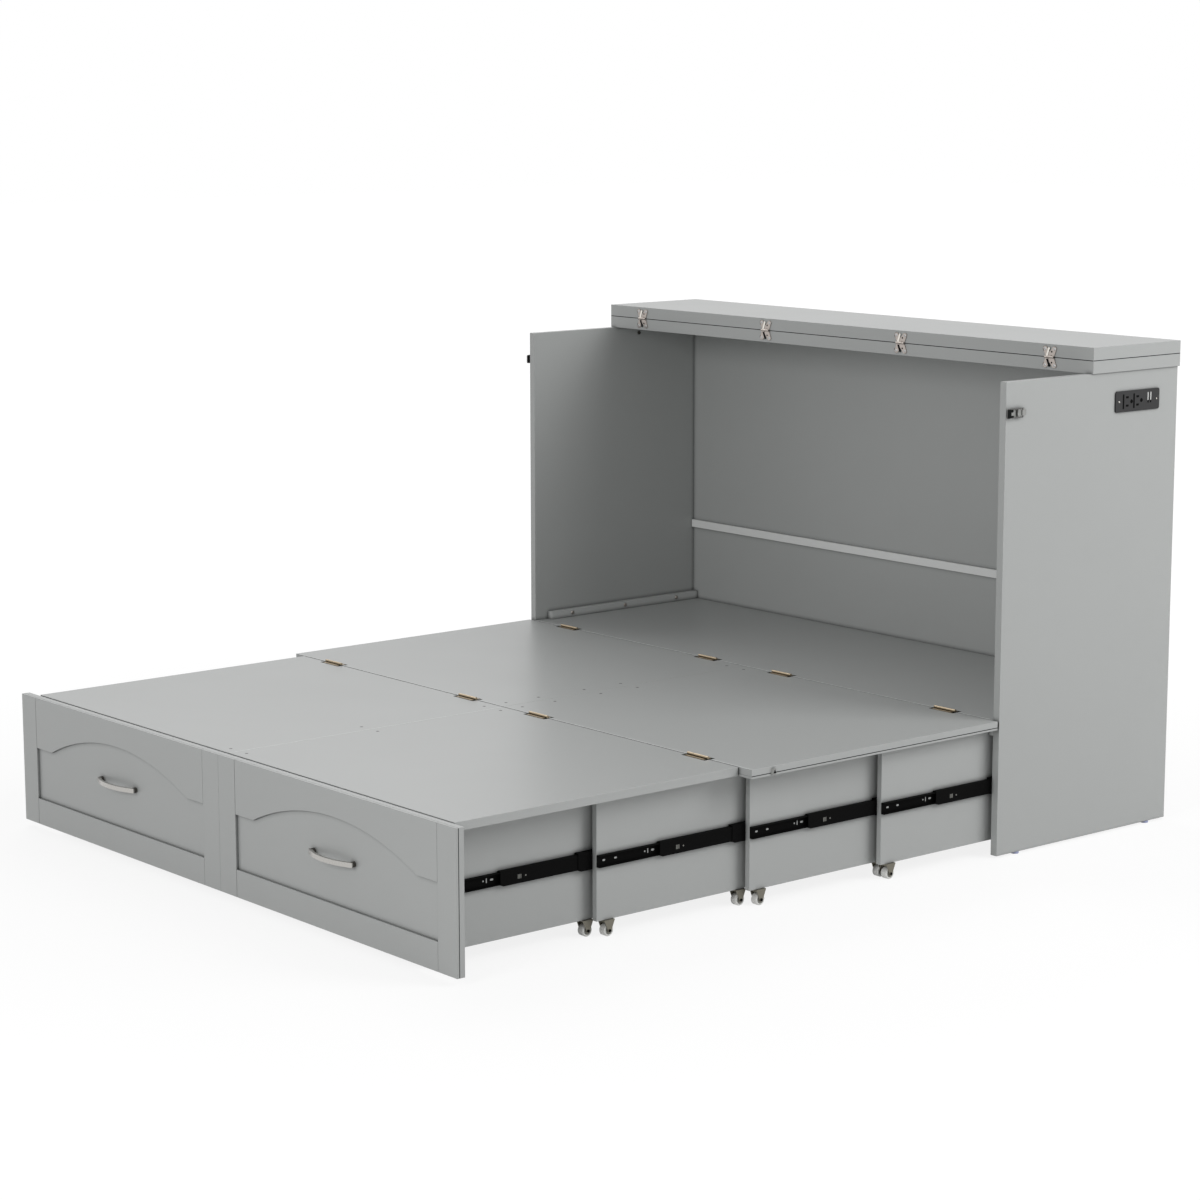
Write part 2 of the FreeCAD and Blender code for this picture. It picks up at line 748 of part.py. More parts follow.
def fork(name, x, y):
    """A caster's U fork: two tapered cheeks under a flat top plate, with its axle."""
    top_half = "fork_top / 2"
    corners = [
        ("-fork_foot", "wheel_radius"),
        ("fork_foot", "wheel_radius", "fork_bottom"),
        (top_half, "frame_low - fork_cheek"),
        (top_half, "frame_low"),
        (f"-{top_half}", "frame_low"),
        (f"-{top_half}", "frame_low - fork_cheek"),
    ]
    block = padded(name, "YZ_Plane", corners, "fork_wide", (x, y, "0"), centred=True)
    inside = "(fork_wide / 2 - fork_cheek)"
    slot = board(name + "_slot", (f"{x} - {inside}", f"{x} + {inside}"),
                 (f"{y} - fork_top", f"{y} + fork_top"), ("-1", "frame_low - fork_cheek"))
    axle = rod(name + "_axle", "x", (f"{x} - fork_wide / 2 - fork_cheek / 2", y, "wheel_radius"),
               "axle_radius", "fork_wide + fork_cheek")
    return joined(name + "_fork", [cut(name + "_open", block, slot), axle])


def wheel(name, x, y):
    half, bore = "wheel_wide / 2", "axle_radius + axle_play"
    corners = [
        (f"-{half}", bore),
        (half, bore),
        (half, "wheel_radius - fork_cheek"),
        (f"{half} - fork_cheek", "wheel_radius"),
        (f"-{half} + fork_cheek", "wheel_radius"),
        (f"-{half}", "wheel_radius - fork_cheek"),
    ]
    return turned(name, "XZ_Plane", corners, (x, y, "wheel_radius"))


def caster_nodes():
    for name, places in CASTERS.items():
        x = f"(face_{name} - panel_thick / 2)"
        node(f"frame_{name}_casters", both_sides([
            fork(f"caster_{name}_{place}", x, f"-caster_{name}_{place}") for place in places
        ]))
        for place in places:
            turning = wheel(f"wheel_{name}_{place}", x, f"-caster_{name}_{place}")
            node(f"wheels_{name}_{place}", both_sides([turning]))


# ---------------------------------------------------------------- latches and outlet

def latches():
    """A draw latch on each side: base plate with a pin, a lever on it, and a wire loop on the lever that
    reaches forward over the keeper on the closed deck's edge."""
    face, axis, level = "half_width", "latch_axis", "latch_level"
    base = padded("latch_plate", "YZ_Plane", rounded("base_long", "base_tall", "base_round"), "base_thick",
                  (face, "latch_axis - base_long / 2", f"{level} - base_tall / 2"))
    lug_x = (face, f"{face} + latch_off + 2 * wire_radius")
    lug_y = (f"{axis} - 2 * wire_radius", f"{axis} + 2 * wire_radius")
    lugs = [board(f"latch_lug_{number}", lug_x, lug_y,
                  (f"{level} + {low}", f"{level} + {high}"))
            for number, (low, high) in enumerate((
                ("lever_half + leaf_play", "lever_half + leaf_play + base_thick"),
                ("-lever_half - leaf_play - base_thick", "-lever_half - leaf_play")))]
    pin = rod("latch_pin", "z", (f"{face} + latch_off", axis, f"{level} - lever_half - leaf_play"),
              "wire_radius", "2 * (lever_half + leaf_play)")
    node("latch_bases", both_sides([joined("latch_base", [base, pin] + lugs)]))

    axis_x = f"({face} + latch_off)"
    barrel = rod("lever_barrel", "z", (axis_x, axis, f"{level} - lever_half"), "2 * wire_radius",
                 "2 * lever_half")
    plate = board("lever_plate", (f"{axis_x} - lever_thick / 2", f"{axis_x} + lever_thick / 2"),
                  (axis, f"{axis} + lever_long"), (f"{level} - lever_half", f"{level} + lever_half"))
    crank_x, crank_y = f"({axis_x} + latch_crank_off)", f"({axis} + latch_crank)"
    eye = rod("lever_eye", "z", (crank_x, crank_y, f"{level} - lever_half"), "2 * wire_radius",
              "2 * lever_half")
    bore = rod("lever_bore", "z", (axis_x, axis, f"{level} - lever_half - 1"), "wire_radius + pin_play",
               "2 * lever_half + 2")
    eye_bore = rod("lever_eye_bore", "z", (crank_x, crank_y, f"{level} - lever_half - 1"),
                   "wire_radius + pin_play", "2 * lever_half + 2")
    lever = cut("lever_bored", cut("lever_pinned", joined("lever_whole", [barrel, plate, eye]), bore), eye_bore)
    node("latch_lever_right", [lever])
    node("latch_lever_left", [mirrored(lever)])

    front_y = f"({crank_y} - loop_long)"
    legs = [rod(f"loop_leg_{number}", "y", (crank_x, front_y, f"{level} + {side} * loop_half"),
                "wire_radius", "loop_long") for number, side in enumerate((1, -1))]
    bar = rod("loop_bar", "z", (crank_x, front_y, f"{level} - loop_half"), "wire_radius", "2 * loop_half")
    pivot = rod("loop_pivot", "z", (crank_x, crank_y, f"{level} - loop_half"), "wire_radius",
                "2 * loop_half")
    loop = joined("loop_wire", legs + [bar, pivot])
    node("latch_loop_right", [loop])
    node("latch_loop_left", [mirrored(loop)])

    keeper = padded("keeper", "XY_Plane", [
        ("0", "-keeper_half"),
        ("keeper_proud", "-keeper_half / 2"),
        ("keeper_proud", "keeper_half / 2"),
        ("0", "keeper_half"),
    ], "keeper_high - keeper_low", (face, "-keeper_at", "keeper_low"))
    node("latch_keepers", both_sides([keeper]))


def outlet():
    """A double socket with two charging ports: a face plate outside, its box through the side."""
    plate = padded("outlet_plate_body", "YZ_Plane", rounded("outlet_long", "outlet_tall", "outlet_round"),
                   "outlet_plate", ("half_width", "outlet_front", "outlet_low"))
    box = board("outlet_box", ("half_width - outlet_box_deep", "half_width"),
                ("outlet_front + outlet_box_inset", "outlet_front + outlet_long - outlet_box_inset"),
                ("outlet_low + outlet_box_inset", "outlet_low + outlet_tall - outlet_box_inset"))
    middle = "(outlet_low + outlet_tall / 2)"
    deep = ("half_width + outlet_plate - slot_deep", "half_width + outlet_plate + 1")
    holes = []
    for socket in range(2):
        slot_y = f"(outlet_front + socket_first + {socket} * socket_pitch)"
        for number, way in enumerate(("1", "-1")):
            slot_z = f"({middle} + {way} * socket_spread / 2)"
            holes.append(board(f"slot_{socket}_{number}", deep,
                               (f"{slot_y} - slot_tall / 2", f"{slot_y} + slot_tall / 2"),
                               (f"{slot_z} - slot_wide / 2", f"{slot_z} + slot_wide / 2")))
        holes.append(rod(f"ground_{socket}", "x", (deep[0], f"{slot_y} + ground_off", middle),
                         "ground_radius", "slot_deep + 1"))
    for port in range(2):
        port_y = f"(outlet_front + usb_first + {port} * usb_pitch)"
        holes.append(board(f"port_{port}", deep, (f"{port_y} - usb_wide / 2", f"{port_y} + usb_wide / 2"),
                           (f"{middle} - usb_tall / 2", f"{middle} + usb_tall / 2")))
    node("outlet", [cut("outlet_whole", joined("outlet_solid", [plate, box]), joined("outlet_holes", holes))])


def main():
    cabinet()
    top()
    flip_hinges()
    decks()
    door_frame()
    deck_hinges()
    front_board()
    handles()
    frame_nodes()
    slide_nodes()
    caster_nodes()
    latches()
    outlet()


main()
doc.recompute()
for thing in doc.Objects:
    if "Invalid" in thing.State or "Error" in thing.State:
        raise RuntimeError(f"{thing.Label} failed: {thing.State}")
os.makedirs("parts", exist_ok=True)
for thing in NODES:
    shape = thing.Shape
    if shape.isNull() or not shape.isValid():
        raise RuntimeError(f"{thing.Label} has no valid shape")
    shape.exportStep(f"parts/{thing.Label}.step")
    box = shape.BoundBox
    print(f"{thing.Label:26s} {len(shape.Solids)} solids  x {box.XMin:8.1f} {box.XMax:8.1f}"
          f"  y {box.YMin:8.1f} {box.YMax:8.1f}  z {box.ZMin:7.1f} {box.ZMax:7.1f}")
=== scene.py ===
# %% [markdown]
# # A cabinet bed, opened out
# The object is a low cabinet of painted fibreboard. Its bed is a deck in three hinged parts that folds up
# into the cabinet, and four frames that slide out one behind the other like drawers to carry the deck.
# The CAD model already has every board, hinge, slide and wheel in its true size and place. Blender's work
# is the finish: paint, plated metal, black steel, moulded plastic, and the small screws, ribs and ports
# that the CAD leaves out. Blender counts in metres. Small sizes are given in millimetres, as on a
# drawing, and a factor called MM turns them into metres.

# %% Load the CAD model as the frame
import bpy
import bmesh
import json
import math
from mathutils import Matrix, Vector


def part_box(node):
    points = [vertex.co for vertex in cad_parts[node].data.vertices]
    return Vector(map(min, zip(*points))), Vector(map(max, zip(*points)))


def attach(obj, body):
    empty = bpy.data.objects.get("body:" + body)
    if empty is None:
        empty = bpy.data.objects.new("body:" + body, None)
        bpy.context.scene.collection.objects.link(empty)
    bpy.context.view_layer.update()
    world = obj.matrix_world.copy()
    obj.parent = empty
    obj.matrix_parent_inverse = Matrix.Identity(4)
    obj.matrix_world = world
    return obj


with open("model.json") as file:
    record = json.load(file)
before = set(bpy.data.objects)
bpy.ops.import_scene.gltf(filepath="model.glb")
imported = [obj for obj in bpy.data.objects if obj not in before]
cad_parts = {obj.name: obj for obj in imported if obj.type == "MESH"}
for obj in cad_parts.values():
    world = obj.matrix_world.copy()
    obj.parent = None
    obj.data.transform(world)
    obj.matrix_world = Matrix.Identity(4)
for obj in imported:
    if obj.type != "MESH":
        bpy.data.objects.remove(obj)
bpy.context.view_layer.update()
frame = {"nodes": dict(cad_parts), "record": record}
scene = bpy.context.scene
scene.view_settings.view_transform = "Standard"

# %% [markdown]
# ## Camera
# The photograph was taken with a long lens from the right of the foot end, a little above the top of the
# cabinet. A camera can be placed by eye, but then nothing lines up exactly. Here its place was worked out
# from the corners of the boards, whose sizes are known: with a long lens the far end of the bed shrinks
# only a little, so the camera's distance follows from how much.

# %% The camera
camera = bpy.data.objects.new("camera", bpy.data.cameras.new("camera"))
scene.collection.objects.link(camera)
scene.camera = camera
camera.data.sensor_width = 36
camera.data.lens = 91.653
camera.data.clip_end = 60
camera_place = (5.3082, -4.39245, 1.7229)
camera_right = Vector((0.63938, 0.76889, -0.00131))
camera_up = Vector((-0.1310, 0.11061, 0.98519))
camera_back = Vector((0.75765, -0.62974, 0.17145))
turned = Matrix((camera_right, camera_up, camera_back)).transposed().to_4x4()
camera.matrix_world = Matrix.Translation(camera_place) @ turned
print("camera at", [round(number, 3) for number in camera.location], "lens", camera.data.lens)

# %% [markdown]
# ## Studio
# A product photograph like this one is taken in a white tent, so that light comes from everywhere and the
# shade is soft: only the inside of the cabinet and the space under the deck go dark. A picture of a real
# studio could light the scene, but a plain white world with a few lamps is easier to adjust. Rays that
# come straight from the camera, or by way of a shiny surface, see plain white. The rays that carry light
# see a lower level, because three large lamps, as if behind the cloth of the tent, add the rest. The lamp
# at the foot lights the front board, the one above the left edge lights the deck, and the strong one
# behind the right corner lights the right side while it leaves the inside of the cabinet dim. Their
# powers come from a fit to the tones of forty places in the photograph. The lamp at the foot was then
# moved, and set until the arches of the front board showed.
# The floor is white for the camera too, mixed with a matt white that still shows the soft shadow. Far
# from the bed there is no shadow to show, so there the floor is plain white, the same as the world.

# %% A helper that adds one node
def add_node(tree, kind, settings=None, **inputs):
    """Adds a node. settings are its own properties. inputs are its sockets, by name (with _ for a space)
    or by number (i0, i1 and so on). Each is a number, a colour, or another node's output to link."""
    node = tree.nodes.new(kind)
    for name, value in (settings or {}).items():
        setattr(node, name, value)
    for name, value in inputs.items():
        key = int(name[1:]) if name[0] == "i" and name[1:].isdigit() else name.replace("_", " ")
        socket = node.inputs[key]
        if isinstance(value, bpy.types.NodeSocket):
            tree.links.new(value, socket)
        else:
            socket.default_value = value
    return node


def srgb(text):
    """A colour written as sRGB hex, such as #a8aaa9, as the linear numbers that Blender works with."""
    parts = [int(text[place:place + 2], 16) / 255 for place in (1, 3, 5)]
    return tuple(part / 12.92 if part <= 0.04045 else ((part + 0.055) / 1.055) ** 2.4
                 for part in parts) + (1,)


print("mid grey #808080 is", round(srgb("#808080")[0], 3), "in linear light")

# %% Which rays see plain white
def seen_directly(tree):
    """1 for rays from the camera, off a shiny surface or through glass, and 0 for the rest."""
    rays = add_node(tree, "ShaderNodeLightPath")
    either = add_node(tree, "ShaderNodeMath", {"operation": "MAXIMUM"},
                      i0=rays.outputs["Is Camera Ray"], i1=rays.outputs["Is Glossy Ray"])
    any_of_three = add_node(tree, "ShaderNodeMath", {"operation": "MAXIMUM"},
                            i0=either.outputs[0], i1=rays.outputs["Is Transmission Ray"])
    return any_of_three.outputs[0]


WHITE = (1, 1, 1, 1)
print("camera, glossy and transmission rays see the colour", WHITE)

# %% World light
TENT_LEVEL = 0.38
tent = bpy.data.worlds.new("white_tent")
scene.world = tent
tent.use_nodes = True
nodes = tent.node_tree
nodes.nodes.clear()
carried = add_node(nodes, "ShaderNodeBackground", Color=WHITE, Strength=TENT_LEVEL)
plain = add_node(nodes, "ShaderNodeBackground", Color=WHITE, Strength=1.0)
mixed = add_node(nodes, "ShaderNodeMixShader", i0=seen_directly(nodes), i1=carried.outputs[0],
                 i2=plain.outputs[0])
add_node(nodes, "ShaderNodeOutputWorld", Surface=mixed.outputs[0])
print("world light", TENT_LEVEL)

# %% Soft lamps
def soft_lamp(name, place, target, size, power):
    """A large square lamp that points at a spot of the bed. Lengths in metres, power in watts."""
    lamp = bpy.data.objects.new(name, bpy.data.lights.new(name, "AREA"))
    lamp.data.shape = "SQUARE"
    lamp.data.size = size
    lamp.data.energy = power
    lamp.location = place
    lamp.rotation_euler = (Vector(target) - Vector(place)).to_track_quat("-Z", "Y").to_euler()
    scene.collection.objects.link(lamp)
    return lamp


lamps = [soft_lamp("lamp_at_the_foot", place=(1.6, -5.6, 2.6), target=(0, 0, 0.5), size=1.8, power=95),
         soft_lamp("lamp_above_the_left", place=(-4, 1, 5), target=(0, 0, 0.5), size=3.5, power=101),
         soft_lamp("lamp_behind_the_right", place=(4.5, 2.5, 3.5), target=(0.5, 0.5, 0.6), size=3.0,
                   power=160)]
print("lamps", [(lamp.name, lamp.data.energy) for lamp in lamps], "W")

# %% Floor
FLOOR_REACH = 30.0
SHADOW_FADES_FROM = 1.5
SHADOW_GONE_AT = 3.5
WHITE_BY_THE_BED = 0.8
PAPER_GLOW = 1.06
floor = bpy.data.objects.new("studio_floor", bpy.data.meshes.new("studio_floor"))
corners = [(FLOOR_REACH * x, FLOOR_REACH * y, 0) for x, y in ((-1, -1), (1, -1), (1, 1), (-1, 1))]
floor.data.from_pydata(corners, [], [(0, 1, 2, 3)])
scene.collection.objects.link(floor)
paper = bpy.data.materials.new("white_paper_floor")
paper.use_nodes = True
nodes = paper.node_tree
nodes.nodes.clear()
from_bed = add_node(nodes, "ShaderNodeVectorMath", {"operation": "LENGTH"},
                    i0=add_node(nodes, "ShaderNodeTexCoord").outputs["Object"])
white_share = add_node(nodes, "ShaderNodeMapRange", Value=from_bed.outputs["Value"],
                       i1=SHADOW_FADES_FROM, i2=SHADOW_GONE_AT, i3=WHITE_BY_THE_BED, i4=1.0)
share = add_node(nodes, "ShaderNodeMath", {"operation": "MULTIPLY"}, i0=seen_directly(nodes),
                 i1=white_share.outputs["Result"])
matt = add_node(nodes, "ShaderNodeBsdfDiffuse", Color=(0.8, 0.8, 0.8, 1))
white = add_node(nodes, "ShaderNodeEmission", Color=WHITE, Strength=PAPER_GLOW)
mixed = add_node(nodes, "ShaderNodeMixShader", i0=share.outputs[0], i1=matt.outputs[0],
                 i2=white.outputs[0])
add_node(nodes, "ShaderNodeOutputMaterial", Surface=mixed.outputs[0])
floor.data.materials.append(paper)
print("floor", 2 * FLOOR_REACH, "m wide")

# %% [markdown]
# ## Paint on fibreboard
# Every board is MDF, a dense fibreboard, sprayed with a satin grey lacquer. The eye sees three things in
# it: one even cool grey, a low sheen that grows at a glancing angle, and a very fine orange peel in which
# that sheen breaks up. Orange peel on furniture is about 2 mm from crest to crest. The sprayed coat is
# also a little thicker in one place than in another, which shows only as a change of sheen and a trace of
# tone over some hundred millimetres. A picture of paint could be wrapped round the boards, but it would
# show its seams. Both patterns here come from noise in the piece's own coordinates, so they need no
# wrapping and move with the piece.
# In the photograph the last ten millimetres beside a step or a joint look darker than the lamps alone
# make them. Ambient occlusion, which measures how closed in a point is, finds those corners, and a darker
# grey is mixed in there as painted shade.

# %% An empty finish
MM = 0.001


def cycles(spacing_mm):
    """The scale of a noise texture for a pattern that repeats about every so many millimetres."""
    return 1 / (spacing_mm * MM)


def new_finish(name):
    """An empty material with its shader and the piece's own coordinates: (material, tree, shader, place)."""
    material = bpy.data.materials.new(name)
    material.use_nodes = True
    tree = material.node_tree
    tree.nodes.clear()
    shader = add_node(tree, "ShaderNodeBsdfPrincipled")
    add_node(tree, "ShaderNodeOutputMaterial", Surface=shader.outputs[0])
    place = add_node(tree, "ShaderNodeTexCoord").outputs["Object"]
    return material, tree, shader, place


print("a pattern that repeats every 2 mm has the scale", cycles(2))

# %% Sheen and relief that follow a pattern
NOISE_LOW = 0.3
NOISE_HIGH = 0.7


def uneven(tree, shader, clouds, rough, spread, grain, depth_mm, strength):
    """Makes a surface a little uneven. The pattern clouds varies its roughness by spread to either side of
    rough, and the pattern grain tilts the light on it as if it were raised by depth_mm."""
    sheen = add_node(tree, "ShaderNodeMapRange", Value=clouds, i1=NOISE_LOW, i2=NOISE_HIGH,
                     i3=rough - spread, i4=rough + spread)
    tree.links.new(sheen.outputs["Result"], shader.inputs["Roughness"])
    bump = add_node(tree, "ShaderNodeBump", Height=grain, Strength=strength, Distance=depth_mm * MM)
    tree.links.new(bump.outputs["Normal"], shader.inputs["Normal"])


print("nearly all of a noise lies between", NOISE_LOW, "and", NOISE_HIGH)

# %% Satin lacquer
LACQUER_IOR = 1.5
COAT_MM = 260
NOOK_MM = 11
PAINTED_CORNER_SHADE = "#5f6160"
CLOSED_IN = 0.35
IN_THE_OPEN = 0.95


def satin_paint(name, light, dark, gloss, peel_mm=2.2):
    """Sprayed satin lacquer, darkened in its inside corners as painted shade. light and dark are the two
    greys that its coat varies between.
    """
    finish, tree, shader, place = new_finish(name)
    shader.inputs["IOR"].default_value = LACQUER_IOR
    coat = add_node(tree, "ShaderNodeTexNoise", Vector=place, Scale=cycles(COAT_MM), Detail=2.0)
    tone = add_node(tree, "ShaderNodeMix", {"data_type": "RGBA"}, Factor=coat.outputs["Fac"],
                    A=srgb(light), B=srgb(dark))
    # Painted shade: a darker grey is mixed in where ambient occlusion finds an inside corner.
    nook = add_node(tree, "ShaderNodeAmbientOcclusion", {"samples": 6}, Distance=NOOK_MM * MM)
    openness = add_node(tree, "ShaderNodeMapRange", Value=nook.outputs["AO"], i1=CLOSED_IN, i2=IN_THE_OPEN)
    shaded = add_node(tree, "ShaderNodeMix", {"data_type": "RGBA"}, Factor=openness.outputs["Result"],
                      A=srgb(PAINTED_CORNER_SHADE), B=tone.outputs["Result"])
    tree.links.new(shaded.outputs["Result"], shader.inputs["Base Color"])
    peel = add_node(tree, "ShaderNodeTexNoise", Vector=place, Scale=cycles(peel_mm), Detail=1.0)
    uneven(tree, shader, clouds=coat.outputs["Fac"], rough=gloss, spread=0.01,
           grain=peel.outputs["Fac"], depth_mm=0.05, strength=0.12)
    return finish


# Lacquer on flat boards: one calm cool grey with a soft shine.
painted_mdf = satin_paint("satin_painted_mdf", "#a9abaa", "#a7a9a8", 0.36)
# The same lacquer, paler and more matt: a painted highlight where an edge faces the light.
highlight_lacquer = satin_paint("satin_paint_as_painted_highlight", "#c6c8c7", "#c3c5c4", 0.45)
# The battens, which read a shade paler than the boards in the photograph: a paler copy of the same
# lacquer, as painted light.
lit_batten_lacquer = satin_paint("satin_paint_painted_light_on_battens", "#bcbebd", "#b9bbba", 0.4)
# The back boards: the same grey, with a coarser orange peel and less shine.
painted_hardboard = satin_paint("satin_painted_hardboard", "#a9abaa", "#a6a8a7", 0.42, peel_mm=3.0)
print("paint on boards:", painted_mdf.name, "and on the back:", painted_hardboard.name)

# %% [markdown]
# ## Metals and plastics
# The hinges of the deck are steel with a thin brass plate, and those of the top are plated with nickel. The
# latches are nickel that was tumbled to a satin, the handles nickel that was brushed. The casters' forks
# are sheet that was zinc plated and chromated, which leaves a dull olive. A metal's colour is its
# reflection, so each of these has its own colour at metallic 1, and how it was worked gives its roughness.
# The slides are cold-rolled steel, dipped black, and the loops of the latches are oxidised wire. What
# shows on them is the coat and not the metal, so they are made as the plastics are, with metallic at 0:
# the nylon wheels, the black ABS of the outlet, the white PVC strip at the back and the rest. Plain colours
# alone would do from afar, but then every light on a handle or a hinge has the clean edge of a mirror.
# Brush marks and the grain of a mould are a tenth of a millimetre apart or less, which is too fine to show
# here. They are drawn coarser, between 0.7 and 2.5 mm apart, and still break up the reflections.

# %% Plated metals
def plated_metal(name, colour, rough, worked_mm, depth_mm, stretch=(1, 1, 1)):
    """Plated steel. worked_mm is the spacing of the marks that working it left, stretch their direction."""
    finish, tree, shader, place = new_finish(name)
    shader.inputs["Metallic"].default_value = 1.0
    shader.inputs["Base Color"].default_value = srgb(colour)
    drawn = add_node(tree, "ShaderNodeMapping", Vector=place, Scale=stretch)
    marks = add_node(tree, "ShaderNodeTexNoise", Vector=drawn.outputs[0], Scale=cycles(worked_mm),
                     Detail=3.0)
    uneven(tree, shader, clouds=marks.outputs["Fac"], rough=rough, spread=0.06,
           grain=marks.outputs["Fac"], depth_mm=depth_mm, strength=0.25)
    return finish


# Deck hinges: a dull pale gold, clouded where the strip was rolled.
brass_plate = plated_metal("brass_plated_steel", "#a49680", 0.36, 1.5, 0.03)
# Hinges of the top: a warmer and darker grey than chrome, with broad soft lights.
nickel_plate = plated_metal("nickel_plated_steel", "#aaa29c", 0.3, 1.8, 0.03)
# The links of those hinges are polished and throw back a small clear light.
bright_nickel = plated_metal("polished_nickel", "#dad6cf", 0.18, 2.5, 0.01)
# Latches: tumbled to a satin that is nearly as grey as the painted wall behind it.
satin_nickel = plated_metal("satin_nickel", "#929391", 0.5, 1.0, 0.02)
# Handles: brushed along the bow, so that the marks are long that way and a light smears across them.
ALONG_THE_HANDLE = (0.05, 1, 1)
brushed_nickel = plated_metal("brushed_nickel", "#b6b4b0", 0.3, 0.7, 0.02, ALONG_THE_HANDLE)
# Screws of those hinges: bare zinc, a cooler and bluer grey than nickel.
zinc_plate = plated_metal("zinc_plated_steel", "#b4b6b8", 0.36, 2.5, 0.04)
# Forks of the casters: chromated zinc, a dull olive grey.
olive_zinc = plated_metal("chromated_zinc", "#77746a", 0.45, 2.0, 0.04)
print("metals:", brass_plate.name, nickel_plate.name, brushed_nickel.name, olive_zinc.name)

# %% Black steel, wire and moulded plastics
def moulded(name, colour, rough, grain_mm, depth_mm, shine=0.5):
    """A plastic, or a coated steel, with the fine grain of its mould or its sheet. shine is how much light
    the surface throws back before it reaches the colour: 0.5 is a plain plastic."""
    finish, tree, shader, place = new_finish(name)
    shader.inputs["Specular IOR Level"].default_value = shine
    shader.inputs["Base Color"].default_value = srgb(colour)
    grain = add_node(tree, "ShaderNodeTexNoise", Vector=place, Scale=cycles(grain_mm), Detail=2.0)
    uneven(tree, shader, clouds=grain.outputs["Fac"], rough=rough, spread=0.05,
           grain=grain.outputs["Fac"], depth_mm=depth_mm, strength=0.2)
    return finish


# Slides: dipped black, so matt that hardly any form shows in them. The same black paints the shade in the
# outlet's slots.
black_steel = moulded("black_dipped_steel_and_slot_shade", "#050505", 0.75, 1.2, 0.03, shine=0.06)
# Open joints, the dark sleeves of the latches, and painted shade where a pocket, a hole or a part in
# shadow is seen: almost black, with hardly any shine.
joint_and_shade_black = moulded("dark_joints_and_painted_shade", "#191a1a", 0.8, 1.0, 0.02, shine=0.05)
# Loops of the latches: oxidised wire, dark brown grey with a thin light along it.
dark_wire = moulded("oxidised_steel_wire", "#3a3937", 0.4, 0.8, 0.02, shine=0.8)
# Feet of the handles and the stop: dark and soft, with a dull light.
dark_rubber = moulded("dark_rubber", "#3b3834", 0.6, 1.0, 0.04)
# Wheels: milky white with a soft light.
nylon = moulded("moulded_nylon", "#dededb", 0.45, 1.6, 0.03)
# Hubs of the wheels and ends of the ball cages: a mid grey that looks waxy.
grey_hub = moulded("grey_acetal_hub", "#7b7b76", 0.5, 1.2, 0.03)
# The strip at the back: smooth white, drawn through a die, the brightest piece in the cabinet.
white_pvc = moulded("extruded_white_pvc", "#e4e5e4", 0.35, 2.0, 0.02)
# The outlet: black with a fine grain that greys it where light grazes it.
black_abs = moulded("black_abs", "#1d1d1e", 0.42, 1.0, 0.04, shine=0.4)
# Glides under the cabinet: a cloudy pale blue.
pale_polythene = moulded("pale_polythene", "#9aa0c0", 0.5, 1.5, 0.03)
print("others:", black_steel.name, dark_wire.name, nylon.name, white_pvc.name, black_abs.name)

# %% [markdown]
# ## Which piece has which finish
# A cabinet maker's parts list names the finish of each part, and the CAD model's record does the same: each
# node has a slot, such as painted_board. Giving the finish by slot keeps like pieces alike. A node whose
# slot is shared with pieces that look otherwise is named by itself, in a second and much shorter list.

# %% Give each node its finish
FINISHES = {
    "painted_board": painted_mdf,
    "back_panel": painted_hardboard,
    "frame_board": painted_mdf,
    "brass": brass_plate,
    "nickel": nickel_plate,
    "dark_foot": dark_rubber,
    "black_steel": black_steel,
    "caster_steel": olive_zinc,
    "wheel_nylon": nylon,
    "glide_plastic": pale_polythene,
    "outlet_black": black_abs,
    "latch_plate": satin_nickel,
    "latch_wire": dark_wire,
}
FINISH_OF_NODE = {
    "back_rail": white_pvc,
    "rear_deck_strips": lit_batten_lacquer,
    "handles": brushed_nickel,
}
slot_of = {entry["node"]: entry["material_slot"] for entry in frame["record"]["subparts"]}
for node, thing in frame["nodes"].items():
    thing.data.materials.clear()
    thing.data.materials.append(FINISH_OF_NODE.get(node, FINISHES[slot_of[node]]))
print(len(slot_of), "nodes in", len(FINISHES), "slots,", len(FINISH_OF_NODE), "of them named by themselves")

# %% [markdown]
# ## Broken edges
# No painted board has a razor edge: the corner is broken with sandpaper before the first coat, and the
# paint rounds it a little more, to between half a millimetre and one. That thin line catches the light and
# is what makes a board look solid. The edges could be rounded in the CAD, which would make its files heavy
# for something that only the eye needs. A bevel modifier does it here and can be changed at any time. The
# CAD mesh comes with each face on its own, so a weld modifier joins the faces first. The frames round the
# front board's panels and under the middle deck are rounded a little more, as the photograph shows.

# %% Break the edges of the boards
WELD_MM = 0.01
SHARPER_THAN = math.radians(40)
BOARD_EDGE_MM = 0.7
FRAME_EDGE_MM = 0.8
BOARDS = ["side_left", "side_right", "back_rail", "top_fixed", "top_flap", "rear_deck", "rear_deck_strips",
          "mid_deck_left", "mid_deck_right", "front_deck_left", "front_deck_right", "front_board",
          "frame_a_sides", "frame_b_sides", "frame_c_sides", "frame_d_sides",
          "frame_a_cross", "frame_b_cross", "frame_c_cross", "frame_d_cross"]
PANEL_FRAMES = ["face_frame_left", "face_frame_right", "door_frame"]


def break_edges(node, width_mm):
    """Welds the faces of a CAD node and rounds its sharp edges."""
    thing = frame["nodes"][node]
    weld = thing.modifiers.new("join_faces", "WELD")
    weld.merge_threshold = WELD_MM * MM
    bevel = thing.modifiers.new("broken_edges", "BEVEL")
    bevel.width = width_mm * MM
    bevel.segments = 2
    bevel.limit_method = "ANGLE"
    bevel.angle_limit = SHARPER_THAN
    bevel.harden_normals = True
    bevel.use_clamp_overlap = True


for node in BOARDS:
    break_edges(node, BOARD_EDGE_MM)
for node in PANEL_FRAMES:
    break_edges(node, FRAME_EDGE_MM)
print(len(BOARDS) + len(PANEL_FRAMES), "nodes have broken edges")

